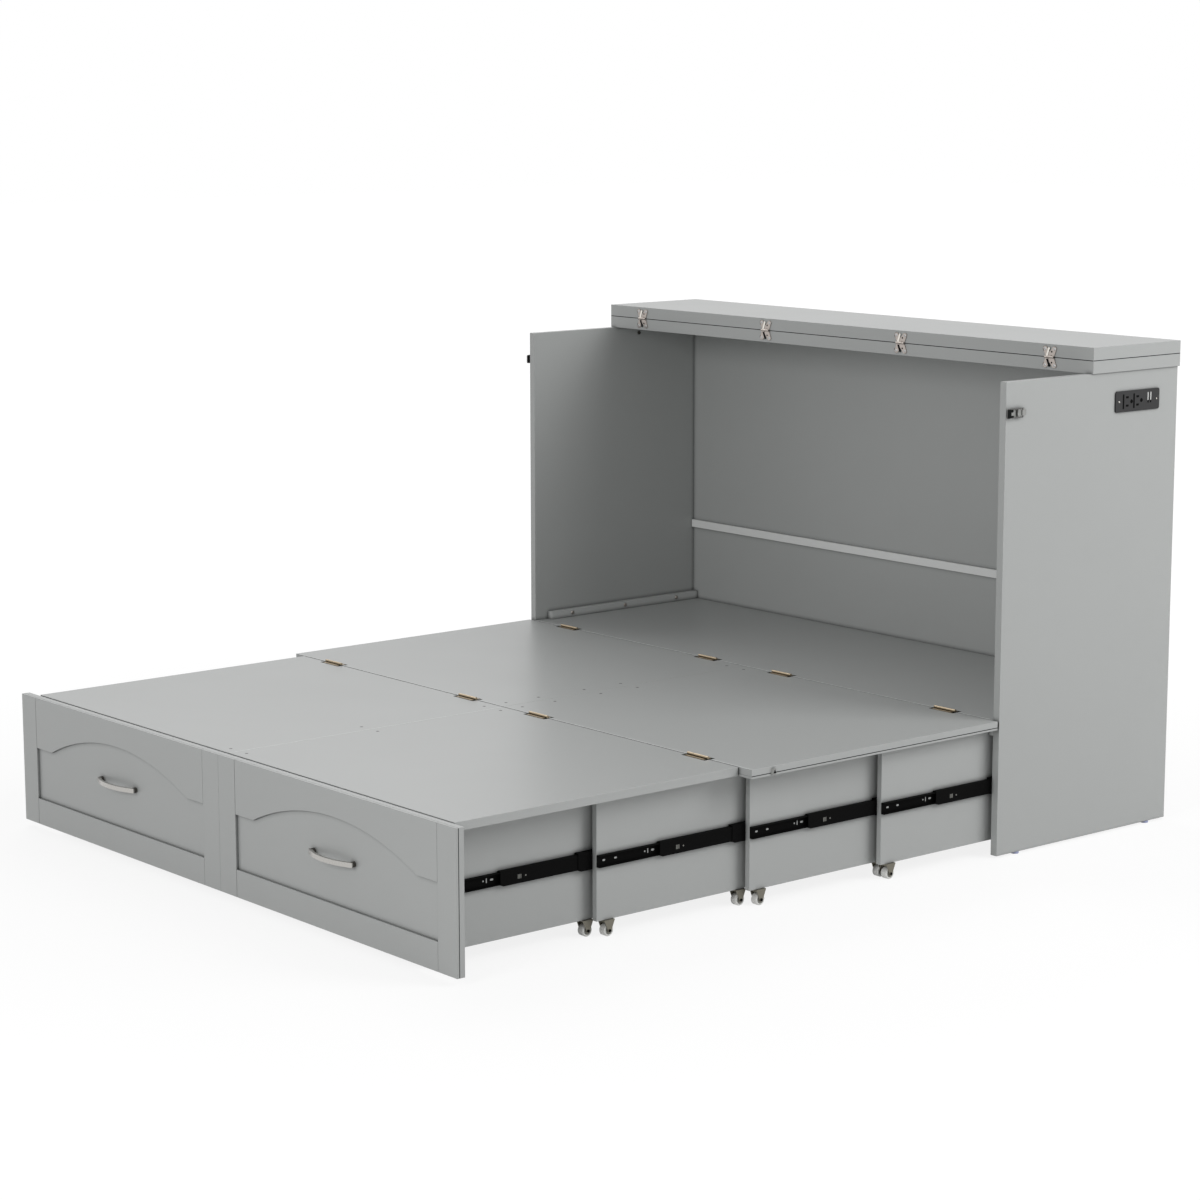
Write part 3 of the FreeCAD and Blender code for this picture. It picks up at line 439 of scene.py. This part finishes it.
# %% [markdown]
# ## Places on the drawing
# Everything that is added from here on sits on a board, a slide or a hinge of the CAD model. Its place could
# be typed in as a number, but then it would stay behind if the model changed. Most places are measured on
# the model instead. They are given as on a drawing of the bed: across from the middle, back from the
# cabinet's front edge and up from the floor, all in millimetres. A place that is still typed in was read
# off the photograph. The thickness of a batten and of a slide's web and the width of a wheel repeat the
# CAD's own sizes, because a node's box doesn't tell them.

# %% Measure the CAD model
CABINET_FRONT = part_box("side_left")[0][1]
UP = (0, 0, 1)
TO_THE_FOOT = (0, -1, 0)
BOTH_SIDES = (-1, 1)


def spot(x, y, z):
    """A place on the drawing, in millimetres, as a place in Blender."""
    return Vector((x * MM, CABINET_FRONT + y * MM, z * MM))


def extent(node):
    """A CAD node's box on the drawing: ((left, right), (front, back), (bottom, top))."""
    low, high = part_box(node)
    return [((low[axis] - start) / MM, (high[axis] - start) / MM)
            for axis, start in enumerate((0, CABINET_FRONT, 0))]


def middle(two):
    """Half way between two numbers."""
    return sum(two) / 2


def length_of(two):
    """The distance from the first number to the second."""
    return two[1] - two[0]


FRONT_DECK = extent("front_deck_right")
MIDDLE_DECK = extent("mid_deck_right")
REAR_DECK = extent("rear_deck")
DECK_TOP = MIDDLE_DECK[2][1]
print("top of the deck at", round(DECK_TOP, 2), "mm, cabinet front at y =", round(CABINET_FRONT, 4))

# %% [markdown]
# ## Screws
# Two kinds of screw show. Countersunk ones hold the deck to the strips below it, in pairs along the
# middle, and stand a quarter of a millimetre out of the paint. Pan-head ones hold the battens, the outlet
# and the hinges of the top, and stand further out. Both have a cross recess. A picture of a screw would do
# from afar, but it goes flat from close by. Here each head is a few rings of points, with the cross cut
# into the top one, so that its recess holds a real shadow. The heads of one kind on one body are one
# piece, and each is turned a little further than the one before, because nobody lines up the crosses.

# %% One screw head
AROUND = 20
DOME = ((1.0, 0.0), (0.97, 0.45), (0.8, 0.9), (0.66, 1.0))
ARM_LONG = 0.48
ARM_HALF = 0.1
PIT_DEEP = 0.3
PIT_NARROWS = 0.8


def join_rings(mesh, rings):
    """Fills the bands between rings of as many points each, from the first ring to the last."""
    for low, high in zip(rings, rings[1:]):
        for step in range(len(low)):
            after = (step + 1) % len(low)
            mesh.faces.new((low[step], low[after], high[after], high[step]))


def screw_head(mesh, where, facing, radius, proud, turn):
    """Adds one head to a mesh: a domed disc with a cross recess, set on a surface that faces that way. DOME
    gives each ring's share of the radius and of the height."""
    stand = Vector(facing).to_track_quat("Z", "Y").to_matrix().to_4x4()
    place = Matrix.Translation(where) @ stand @ Matrix.Rotation(turn, 4, "Z")
    rings = []
    for share, height in DOME:
        rings.append([mesh.verts.new(place @ Vector((radius * share * math.cos(step * math.tau / AROUND),
                                                     radius * share * math.sin(step * math.tau / AROUND),
                                                     proud * height))) for step in range(AROUND)])
    join_rings(mesh, rings)
    arm, half = ARM_LONG * radius, ARM_HALF * radius
    cross = [(arm, -half), (arm, half), (half, half), (half, arm), (-half, arm), (-half, half),
             (-arm, half), (-arm, -half), (-half, -half), (-half, -arm), (half, -arm), (half, -half)]
    rim = [mesh.verts.new(place @ Vector((x, y, proud))) for x, y in cross]
    pit = [mesh.verts.new(place @ Vector((x * PIT_NARROWS, y * PIT_NARROWS, proud - PIT_DEEP * radius)))
           for x, y in cross]
    join_rings(mesh, (rim, pit))
    mesh.faces.new(pit)
    edges = [mesh.edges.get((loop[step], loop[(step + 1) % len(loop)])) or
             mesh.edges.new((loop[step], loop[(step + 1) % len(loop)]))
             for loop in (rings[-1], rim) for step in range(len(loop))]
    bmesh.ops.triangle_fill(mesh, edges=edges, use_beauty=True)


print("a screw head has", len(DOME), "rings of", AROUND, "points")

# %% Pieces that ride on the model
SMOOTH_UNDER = math.radians(30)


def finished(name, mesh, finish, body):
    """Turns a mesh into a piece that rides on a CAD body. Its sharper edges stay sharp."""
    bmesh.ops.recalc_face_normals(mesh, faces=mesh.faces)
    data = bpy.data.meshes.new(name)
    mesh.to_mesh(data)
    mesh.free()
    piece = bpy.data.objects.new(name, data)
    scene.collection.objects.link(piece)
    data.materials.append(finish)
    data.shade_smooth()
    data.set_sharp_from_angle(angle=SMOOTH_UNDER)
    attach(piece, body)
    return piece


TURN_BETWEEN = 0.65


def screws(name, body, places, facing, radius_mm, proud_mm, finish):
    """Several screws of one kind as one piece."""
    mesh = bmesh.new()
    for number, place in enumerate(places):
        screw_head(mesh, spot(*place), facing, radius_mm * MM, proud_mm * MM, number * TURN_BETWEEN)
    return finished(name, mesh, finish, body)


print("each screw is turned", TURN_BETWEEN, "radians further than the last")

# %% Screws of the decks and battens
DECK_ROWS = {"front_deck": (-1441, -1104, -767), "middle_deck": (-705, -611, -476, -366, -33)}
FROM_SEAM = 30
BATTEN_THICK = 18
BATTEN_ROWS = (110, 290, 470)
ABOVE_DECK = 10
for body, rows in DECK_ROWS.items():
    pairs = [(side * FROM_SEAM, row, DECK_TOP) for row in rows for side in BOTH_SIDES]
    screws(f"{body}_screws", body, pairs, UP, radius_mm=3.8, proud_mm=0.25, finish=dark_wire)
batten_face = extent("rear_deck_strips")[0][1] - BATTEN_THICK
for name, side in (("left", -1), ("right", 1)):
    row = [(side * batten_face, y, DECK_TOP + ABOVE_DECK) for y in BATTEN_ROWS]
    screws(f"batten_screws_{name}", "cabinet", row, (-side, 0, 0), radius_mm=5, proud_mm=2.2,
           finish=nickel_plate)
print("rows of deck screws:", {body: len(rows) for body, rows in DECK_ROWS.items()})

# %% [markdown]
# ## Small flat parts
# Hinge flanges, hubs and ports are flat parts with a plain outline, from under a tenth of a millimetre to
# 2.5 mm thick. So are the marks that stand for a hole, a pocket or an open joint. Those could be cut into
# the CAD's pieces with booleans, but a cut leaves an untidy mesh and has to be worked out at each render.
# From where the bed is seen, a thin dark part laid on the surface looks the same. One function stands an
# outline on a surface and breaks its upper edge. Another makes the outline of a rounded rectangle, which is
# also an oval or a disc when its corners meet.

# %% A flat part on a surface
def rounded(wide, tall, corner=None, steps=5):
    """A rounded rectangle about its middle, in millimetres. Without a corner it is an oval or a disc."""
    corner = min(wide, tall) / 2 if corner is None else corner
    points = []
    for quarter, (side, up) in enumerate(((1, 1), (-1, 1), (-1, -1), (1, -1))):
        for step in range(steps + 1):
            angle = (quarter + step / steps) * math.pi / 2
            points.append((side * (wide / 2 - corner) + corner * math.cos(angle),
                           up * (tall / 2 - corner) + corner * math.sin(angle)))
    return points


BROKEN_EDGE = 0.12


def flat_part(mesh, where, facing, outline, thick):
    """Stands an outline on the surface at a place and gives it a thickness, both in millimetres."""
    out = Vector(facing)
    up = Vector((0, 1, 0)) if abs(out.z) > 0.5 else Vector((0, 0, 1))
    across = up.cross(out)
    half_size = min(max(abs(a) for a, b in outline), max(abs(b) for a, b in outline))
    edge = min(BROKEN_EDGE, thick / 2, 0.2 * half_size)
    rings = []
    for inset, height in ((0, 0), (0, thick - edge), (edge, thick)):
        rings.append([mesh.verts.new(spot(*where) + (across * (a - inset * (1 if a > 0 else -1))
                                                     + up * (b - inset * (1 if b > 0 else -1))
                                                     + out * height) * MM) for a, b in outline])
    join_rings(mesh, rings)
    mesh.faces.new(rings[-1])


def flat_parts(name, body, parts, finish):
    """Several flat parts of one finish as one piece. Each is (where, facing, outline, thick)."""
    mesh = bmesh.new()
    for part in parts:
        flat_part(mesh, *part)
    return finished(name, mesh, finish, body)


print("an oval has", len(rounded(8, 4.5)), "corners")

# %% [markdown]
# ## Holes in the slides
# A ball slide's inner member is fixed with screws through slotted holes in its web. In the photograph they
# are small pale marks on the black, because the painted panel shows through them. On the middle member
# there is the ribbed end of the ball cage, in grey. Each mark is a thin flat part in the colour of what is
# seen there. The slides' faces and front ends are measured on the CAD, and the distances of the marks from
# the front ends are the same on all four slides, so one list serves them all.

# %% Marks on the slides
WEB_THICK = 1.2
# Each hole: how far behind the inner member's front end, how long and how tall.
HOLES = ((18, 7, 3.8), (48.5, 7, 3.8), (126, 3.6, 3.6), (134, 2.4, 10), (147, 8, 4))
HOLE_LEVEL = 160.5
CAGE_LEVEL = 158.5
CAGE_RIBS = (44.1, 47.5, 50.9)
RIB = rounded(1.7, 9, 0.5)
CAGE_STUD = 63
STUD = rounded(3.4, 3.4)
for letter in "abcd":
    (_, panel_face), (inner_front, _), _ = extent(f"frame_{letter}_sides")
    (_, middle_face), (middle_front, _), _ = extent(f"slide_{letter}_middles")
    holes, cage = [], []
    for side in BOTH_SIDES:
        out = (side, 0, 0)
        for behind_front, long, tall in HOLES:
            holes.append(((side * (panel_face + WEB_THICK), inner_front + behind_front, HOLE_LEVEL), out,
                          rounded(long, tall), 0.15))
        for rib in CAGE_RIBS:
            cage.append(((side * middle_face, middle_front + rib, CAGE_LEVEL), out, RIB, 0.2))
        cage.append(((side * middle_face, middle_front + CAGE_STUD, CAGE_LEVEL), out, STUD, 0.2))
    flat_parts(f"slide_{letter}_windows", f"frame_{letter}", holes, painted_mdf)
    flat_parts(f"slide_{letter}_cage_end", f"slide_{letter}", cage, grey_hub)
print("each slide has", len(HOLES), "holes and", len(CAGE_RIBS), "ribs")

# %% [markdown]
# ## Casters
# Each caster is a wheel of white nylon on a grey hub, in a fork pressed from sheet that was zinc plated
# and chromated, which turns it a dull olive. The fork's cheeks taper down to a round end about the axle,
# and the axle's end is black. The hub could be cut into the wheel's mesh, but it is a different plastic, so
# it is a disc of its own on each face of the wheel. The cheeks fill out the narrow fork of the CAD to the
# outline in the photograph. All of them are placed from the CAD's wheels.

# %% Hubs, cheeks and axle ends
CASTERS = (("a", "rear"), ("b", "front"), ("b", "rear"), ("c", "front"), ("c", "rear"), ("d", "front"))
WHEEL_WIDE = 17
HUB = rounded(17, 17, steps=6)
CHEEK_WIDE = 21
CHEEK_END = 5.2
CHEEK_OUT = 0.7
AXLE_END = rounded(6.4, 6.4)


def cheek(top, wide, end):
    """A fork's cheek about the axle: wide at the top, with a round end below."""
    below = [math.pi + step * math.pi / 10 for step in range(11)]
    points = [(end * math.cos(angle), end * math.sin(angle)) for angle in below]
    return points + [(wide / 2, top), (-wide / 2, top)]


for letter, place in CASTERS:
    (_, outer), length, height = extent(f"wheels_{letter}_{place}")
    y, axle = middle(length), middle(height)
    fork_out = extent(f"frame_{letter}_casters")[0][1] - outer
    blade = cheek(extent(f"frame_{letter}_sides")[2][0] - axle, CHEEK_WIDE, CHEEK_END)
    hubs, cheeks, ends = [], [], []
    for side in BOTH_SIDES:
        for way, x in ((1, outer), (-1, outer - WHEEL_WIDE)):
            out = (side * way, 0, 0)
            hubs.append(((side * x, y, axle), out, HUB, 0.4))
            cheeks.append(((side * (x + way * CHEEK_OUT), y, axle), out, blade, 0.6))
            ends.append(((side * (x + way * fork_out), y, axle), out, AXLE_END, 0.3))
    flat_parts(f"hubs_{letter}_{place}", f"wheels_{letter}_{place}", hubs, grey_hub)
    flat_parts(f"cheeks_{letter}_{place}", f"frame_{letter}", cheeks, olive_zinc)
    flat_parts(f"axle_ends_{letter}_{place}", f"frame_{letter}", ends, black_steel)
print("casters dressed:", 2 * len(CASTERS))

# %% [markdown]
# ## Hinges of the deck
# A deck hinge is a strip of brass-plated steel that lies in a shallow pocket on each side of the joint.
# The pocket is a little longer than the hinge, so its ends read as short black gaps. The CAD has the
# knuckles and the leaves that go down between the boards. The flanges on top are added here as flat
# parts, each on a thin black one that paints the shade in the pocket, and each rides on the deck it is
# screwed to.

# %% Flanges and the painted shade of their pockets
FRONT_PIN = middle((FRONT_DECK[1][1], MIDDLE_DECK[1][0]))
REAR_PIN = middle((MIDDLE_DECK[1][1], REAR_DECK[1][0]))
DECK_HINGES = (("front", "front_deck", "middle_deck", FRONT_PIN, (129, 661)),
               ("rear", "middle_deck", "cabinet", REAR_PIN, (131, 664)))
FROM_PIN = 8
POCKET = rounded(74, 13, 1)
POCKET_DEEP = 0.1
FLANGE = rounded(58, 7.6, 1)
FLANGE_THICK = 0.5
for name, near, far, pin, from_middle in DECK_HINGES:
    for body, way in ((near, -1), (far, 1)):
        middles = [(side * x, pin + way * FROM_PIN) for x in from_middle for side in BOTH_SIDES]
        # The black under each flange is the pocket's painted shade.
        flat_parts(f"{name}_hinge_pocket_shade_{body}", body,
                   [((x, y, DECK_TOP), UP, POCKET, POCKET_DEEP) for x, y in middles], joint_and_shade_black)
        flat_parts(f"{name}_hinge_flanges_{body}", body,
                   [((x, y, DECK_TOP + POCKET_DEEP), UP, FLANGE, FLANGE_THICK) for x, y in middles],
                   brass_plate)
print("deck hinges dressed:", sum(2 * len(from_middle) for *_, from_middle in DECK_HINGES))

# %% [markdown]
# ## Lit edges along the seams
# In the photograph a pale line a few millimetres wide runs along each seam of the deck, between the
# hinges, and along the middle of the front deck: the edge of one board catches the light there. A wider
# bevel would round the whole board, and under soft light it would hardly be paler. A flat strip in a paler
# paint, at most 0.3 mm thick, paints that highlight on where it shows.

# %% Painted highlights on the seams
STRIP_WIDE = 4
STRIP_CORNER = 0.4
BEHIND_EDGE = 2.3
SEAM_STRIP_SHORTER = 3.8
SEAM_STRIP_RIGHT = 2.2
seam_middle = (SEAM_STRIP_RIGHT, middle(FRONT_DECK[1]), DECK_TOP)
seam_long = length_of(FRONT_DECK[1]) - SEAM_STRIP_SHORTER
# Painted highlight: a paler strip where the edge of a board catches the light.
flat_parts("front_deck_joint_highlight", "front_deck",
           [(seam_middle, UP, rounded(STRIP_WIDE, seam_long, STRIP_CORNER), 0.15)], highlight_lacquer)
for name, body, deck, stretches in (
        ("middle_deck_front_edge", "middle_deck", MIDDLE_DECK,
         ((-822, -700), (-628, -162), (-93, 93), (162, 628), (700, 822))),
        ("rear_deck_front_highlight", "cabinet", REAR_DECK,
         ((-803, -701), (-628, -166), (-95, 95), (166, 628), (701, 803)))):
    flat_parts(name, body,
               [((middle((start, end)), deck[1][0] + BEHIND_EDGE, DECK_TOP), UP,
                 rounded(end - start, STRIP_WIDE, STRIP_CORNER), 0.3) for start, end in stretches],
               highlight_lacquer)
print("pale strip along the centre seam", round(seam_long), "mm long")

# %% [markdown]
# ## Joints that read as dark lines
# Paint doesn't bridge a joint between two boards, so the eye sees a dark line one or two millimetres wide.
# It shows between the middle deck and the frame under it, between the two layers of the top, and between
# the front board and its face frames. In the CAD the boards touch there, or leave a gap too fine to see. The
# gap could be opened in the CAD, but then the boards would no longer be seated. A dark strip less than a
# tenth of a millimetre thick, laid on the joint, gives the line: the bare joint with the shade in it,
# painted on.

# %% Dark lines
LINE_TALL = 1.7
SHORT_OF_END = 1
DECK_LINE_SHORT = 0.3


def dark_line(where, facing, wide, tall):
    """A strip laid on a joint, as a flat part: the bare joint and its shade, painted dark."""
    return where, facing, rounded(wide, tall, 0.2), 0.08


deck_width, deck_length, deck_height = MIDDLE_DECK
flat_parts("deck_joint_line", "middle_deck",
           [dark_line((side * deck_width[1], middle(deck_length), deck_height[0]), (side, 0, 0),
                      length_of(deck_length) - 2 * DECK_LINE_SHORT, LINE_TALL) for side in BOTH_SIDES],
           joint_and_shade_black)
top_width, top_depth, (_, top_of_fixed) = extent("top_fixed")
TOP_JOINT = middle((top_of_fixed, extent("top_flap")[2][0]))
top_lines = [dark_line((0, top_depth[0], TOP_JOINT), TO_THE_FOOT,
                       length_of(top_width) - 2 * SHORT_OF_END, LINE_TALL)]
top_lines += [dark_line((side * top_width[1], middle(top_depth), TOP_JOINT), (side, 0, 0),
                        length_of(top_depth) - 2 * SHORT_OF_END, LINE_TALL) for side in BOTH_SIDES]
flat_parts("top_joint_line", "cabinet", top_lines, joint_and_shade_black)
board_width, _, board_height = extent("front_board")
behind_frames = extent("face_frame_right")[1][1]
flat_parts("front_board_joint_line", "frame_a",
           [dark_line((side * board_width[1], behind_frames, middle(board_height)), (side, 0, 0),
                      LINE_TALL, length_of(board_height) - 2 * SHORT_OF_END) for side in BOTH_SIDES],
           joint_and_shade_black)
print("joint of the top at", round(TOP_JOINT, 2), "mm, of the front board at", round(behind_frames, 2))

# %% [markdown]
# ## Hinges of the top
# Each is a nickel-plated butterfly: two plates with two lobes each, a screw in every lobe, and a short link
# to each plate from beside the pin. In the photograph the lobes at the left are dark, the upper link
# catches the light and the lower one is in shadow, which gives the hinge its strong contrast. The links
# could be bent forward over the pin, but the top would be cut by them when the flap turns over, so they
# are flat and lie on the plates. Upper parts ride on the flap and lower ones on the cabinet. The dark
# lobes, the dark link and the holes are painted shade: flat parts in the shadow's colour.

# %% Links, painted shade, screws and holes
HINGE_MIDDLES = (-701, -233.5, 233.5, 701)
EDGE_FACE = top_depth[0]
PLATE_FACE = EDGE_FACE - 1.5
LINK_WIDE = 5
LINK_LEVELS = {"flap": extent("top_flap")[2][0], "cabinet": TOP_JOINT}
LOBE_LEVELS = {"flap": 1103, "cabinet": 1067.5}
LOBE_LEFT = 14.6
SHADED_LOBE = rounded(12.5, 13.5)
SCREW_LEVELS = {"flap": 1103.5, "cabinet": 1067}
SCREW_ASIDE = 14
HOLE_RIGHT = 6
HOLE_NEARER_PIN = 6
HOLE = rounded(4.4, 4.4)


def slanted(a, b, wide):
    """A straight link with round ends from one point to another, in millimetres."""
    (ax, az), (bx, bz) = a, b
    slope = math.atan2(bz - az, bx - ax)
    half_turn = [step * math.pi / 8 for step in range(9)]
    return ([(bx + wide / 2 * math.cos(slope + turn), bz + wide / 2 * math.sin(slope + turn))
             for turn in [angle - math.pi / 2 for angle in half_turn]]
            + [(ax + wide / 2 * math.cos(slope + turn), az + wide / 2 * math.sin(slope + turn))
               for turn in [angle + math.pi / 2 for angle in half_turn]])


# The lower link is in shadow, so it is painted black as painted shade.
for name, body, link, finish in (
        ("upper", "flap", slanted((-8, 3.5), (-2, 19.5), LINK_WIDE), bright_nickel),
        ("lower", "cabinet", slanted((-1, -19.5), (-8, -3.5), LINK_WIDE), joint_and_shade_black)):
    flat_parts(f"flip_hinge_{name}_links", body,
               [((x, PLATE_FACE, LINK_LEVELS[body]), TO_THE_FOOT, link, 0.7) for x in HINGE_MIDDLES],
               finish)
for body, to_the_pin in (("flap", -1), ("cabinet", 1)):
    # The lobes at the left are in shadow: painted shade, as black flat parts.
    flat_parts(f"flip_hinge_painted_shade_lobes_{body}", body,
               [((x - LOBE_LEFT, EDGE_FACE, LOBE_LEVELS[body]), TO_THE_FOOT, SHADED_LOBE, 0.9)
                for x in HINGE_MIDDLES], joint_and_shade_black)
    screws(f"flip_hinge_screws_{body}", body,
           [(x + side * SCREW_ASIDE, PLATE_FACE, SCREW_LEVELS[body])
            for x in HINGE_MIDDLES for side in BOTH_SIDES],
           TO_THE_FOOT, radius_mm=3.2, proud_mm=0.6, finish=zinc_plate)
    hole_level = SCREW_LEVELS[body] + to_the_pin * HOLE_NEARER_PIN
    flat_parts(f"flip_hinge_holes_{body}", body,
               [((x + HOLE_RIGHT, PLATE_FACE, hole_level), TO_THE_FOOT, HOLE, 0.1) for x in HINGE_MIDDLES],
               joint_and_shade_black)
print("hinges of the top dressed:", len(HINGE_MIDDLES))

# %% [markdown]
# ## Outlet
# The outlet in the right side has a plate of black ABS with two three-pin sockets, two charging ports and
# two screws. Its contacts sit deep in slots that look blacker than the plate, and the ports show the white
# plastic of their tongues. Flat parts in those two colours are enough, because nobody can look down into
# slots a few millimetres wide: the black of the slots is painted shade.

# %% Slots, ports and screws
OUTLET_FACE = extent("outlet")[0][1]
TO_THE_RIGHT = (1, 0, 0)
# Each slot: how far behind the cabinet's front, at what level, how long, how tall, and its corners' radius.
SLOTS = ((380, 987.5, 5, 33, 0.6), (392.8, 996.8, 9, 4.6, 0.4), (392.8, 978.1, 9, 4.6, 0.4),
         (407.4, 986.8, 9, 9, 4.5),
         (415.6, 987.5, 5, 33, 0.6), (427.9, 996.8, 9, 4.6, 0.4), (427.9, 978.1, 9, 4.6, 0.4),
         (440.8, 987.4, 9, 9, 4.5))
PORT = rounded(2.4, 18, 0.6)
PORTS = ((463.3, 995), (472.7, 995))
SCREWS = ((366.5, 987.5), (493, 987.5))
# The black of the slots is painted shade.
flat_parts("outlet_slot_shade", "cabinet",
           [((OUTLET_FACE, back, level), TO_THE_RIGHT, rounded(long, tall, corner), 0.15)
            for back, level, long, tall, corner in SLOTS], black_steel)
flat_parts("outlet_ports", "cabinet",
           [((OUTLET_FACE, back, level), TO_THE_RIGHT, PORT, 0.25) for back, level in PORTS], white_pvc)
screws("outlet_screws", "cabinet", [(OUTLET_FACE, back, level) for back, level in SCREWS], TO_THE_RIGHT,
       radius_mm=1.7, proud_mm=0.4, finish=bright_nickel)
print("outlet has", len(SLOTS), "slots and", len(PORTS), "ports")

# %% [markdown]
# ## Stop inside the left side
# High on the inside of the left side there is one small dark disc, as a rubber buffer would be. It is a
# plain shape, so it is a flat part like the others, only thicker, so that it casts a small shadow.

# %% Stop on the left side
STOP_BACK = 352
STOP_LEVEL = 1038
left_wall = extent("side_left")[0][1]
flat_parts("left_side_stop", "cabinet",
           [((left_wall, STOP_BACK, STOP_LEVEL), TO_THE_RIGHT, rounded(9, 9), 2.5)], dark_rubber)
print("one stop on the wall at", round(left_wall, 1), "mm")

# %% [markdown]
# ## Latches
# Each latch is a draw latch: a wire loop on a lever that catches a keeper on the edge of the middle deck
# when the bed is folded up. The base plate is a satin grey that nearly matches the wall, the loop is
# oxidised wire, and at its front end there is a dark sleeve with a small hook. The CAD has the bent wire.
# The sleeve and the hook could be part of it, but they are another colour, so they are three flat parts
# that ride on the loop and turn with it. The keeper is a pale tab with a dark three-cornered hole, whose
# shade is painted on as a flat black part too.

# %% Sleeves and keeper holes
# Each part of a sleeve: how far behind the cabinet's front and above the loop's middle, outline, thickness.
SLEEVE = ((2.5, 0, rounded(11, 19, 2), 0.9), (11, 5.5, rounded(8, 6), 0.8),
          (11.5, -6.5, rounded(9, 4, 1.5), 0.8))
(_, wire_face), _, loop_height = extent("latch_loop_right")
loop_level = middle(loop_height)
for name, side in (("left", -1), ("right", 1)):
    flat_parts(f"latch_sleeve_{name}", f"loop_{name}",
               [((side * wire_face, back, loop_level + above), (side, 0, 0), outline, thick)
                for back, above, outline, thick in SLEEVE], joint_and_shade_black)
keeper_width, keeper_length, keeper_height = extent("latch_keepers")
THREE_CORNERS = [(-4, -3.5), (4, -3.5), (0.6, 4.5), (-0.6, 4.5)]
# Each hole's shade is painted on as a black flat part.
flat_parts("keeper_holes", "middle_deck",
           [((side * keeper_width[1], middle(keeper_length), middle(keeper_height)), (side, 0, 0),
             THREE_CORNERS, 0.1) for side in BOTH_SIDES], joint_and_shade_black)
print("latch loops dressed, with their middle at", round(loop_level, 1), "mm")
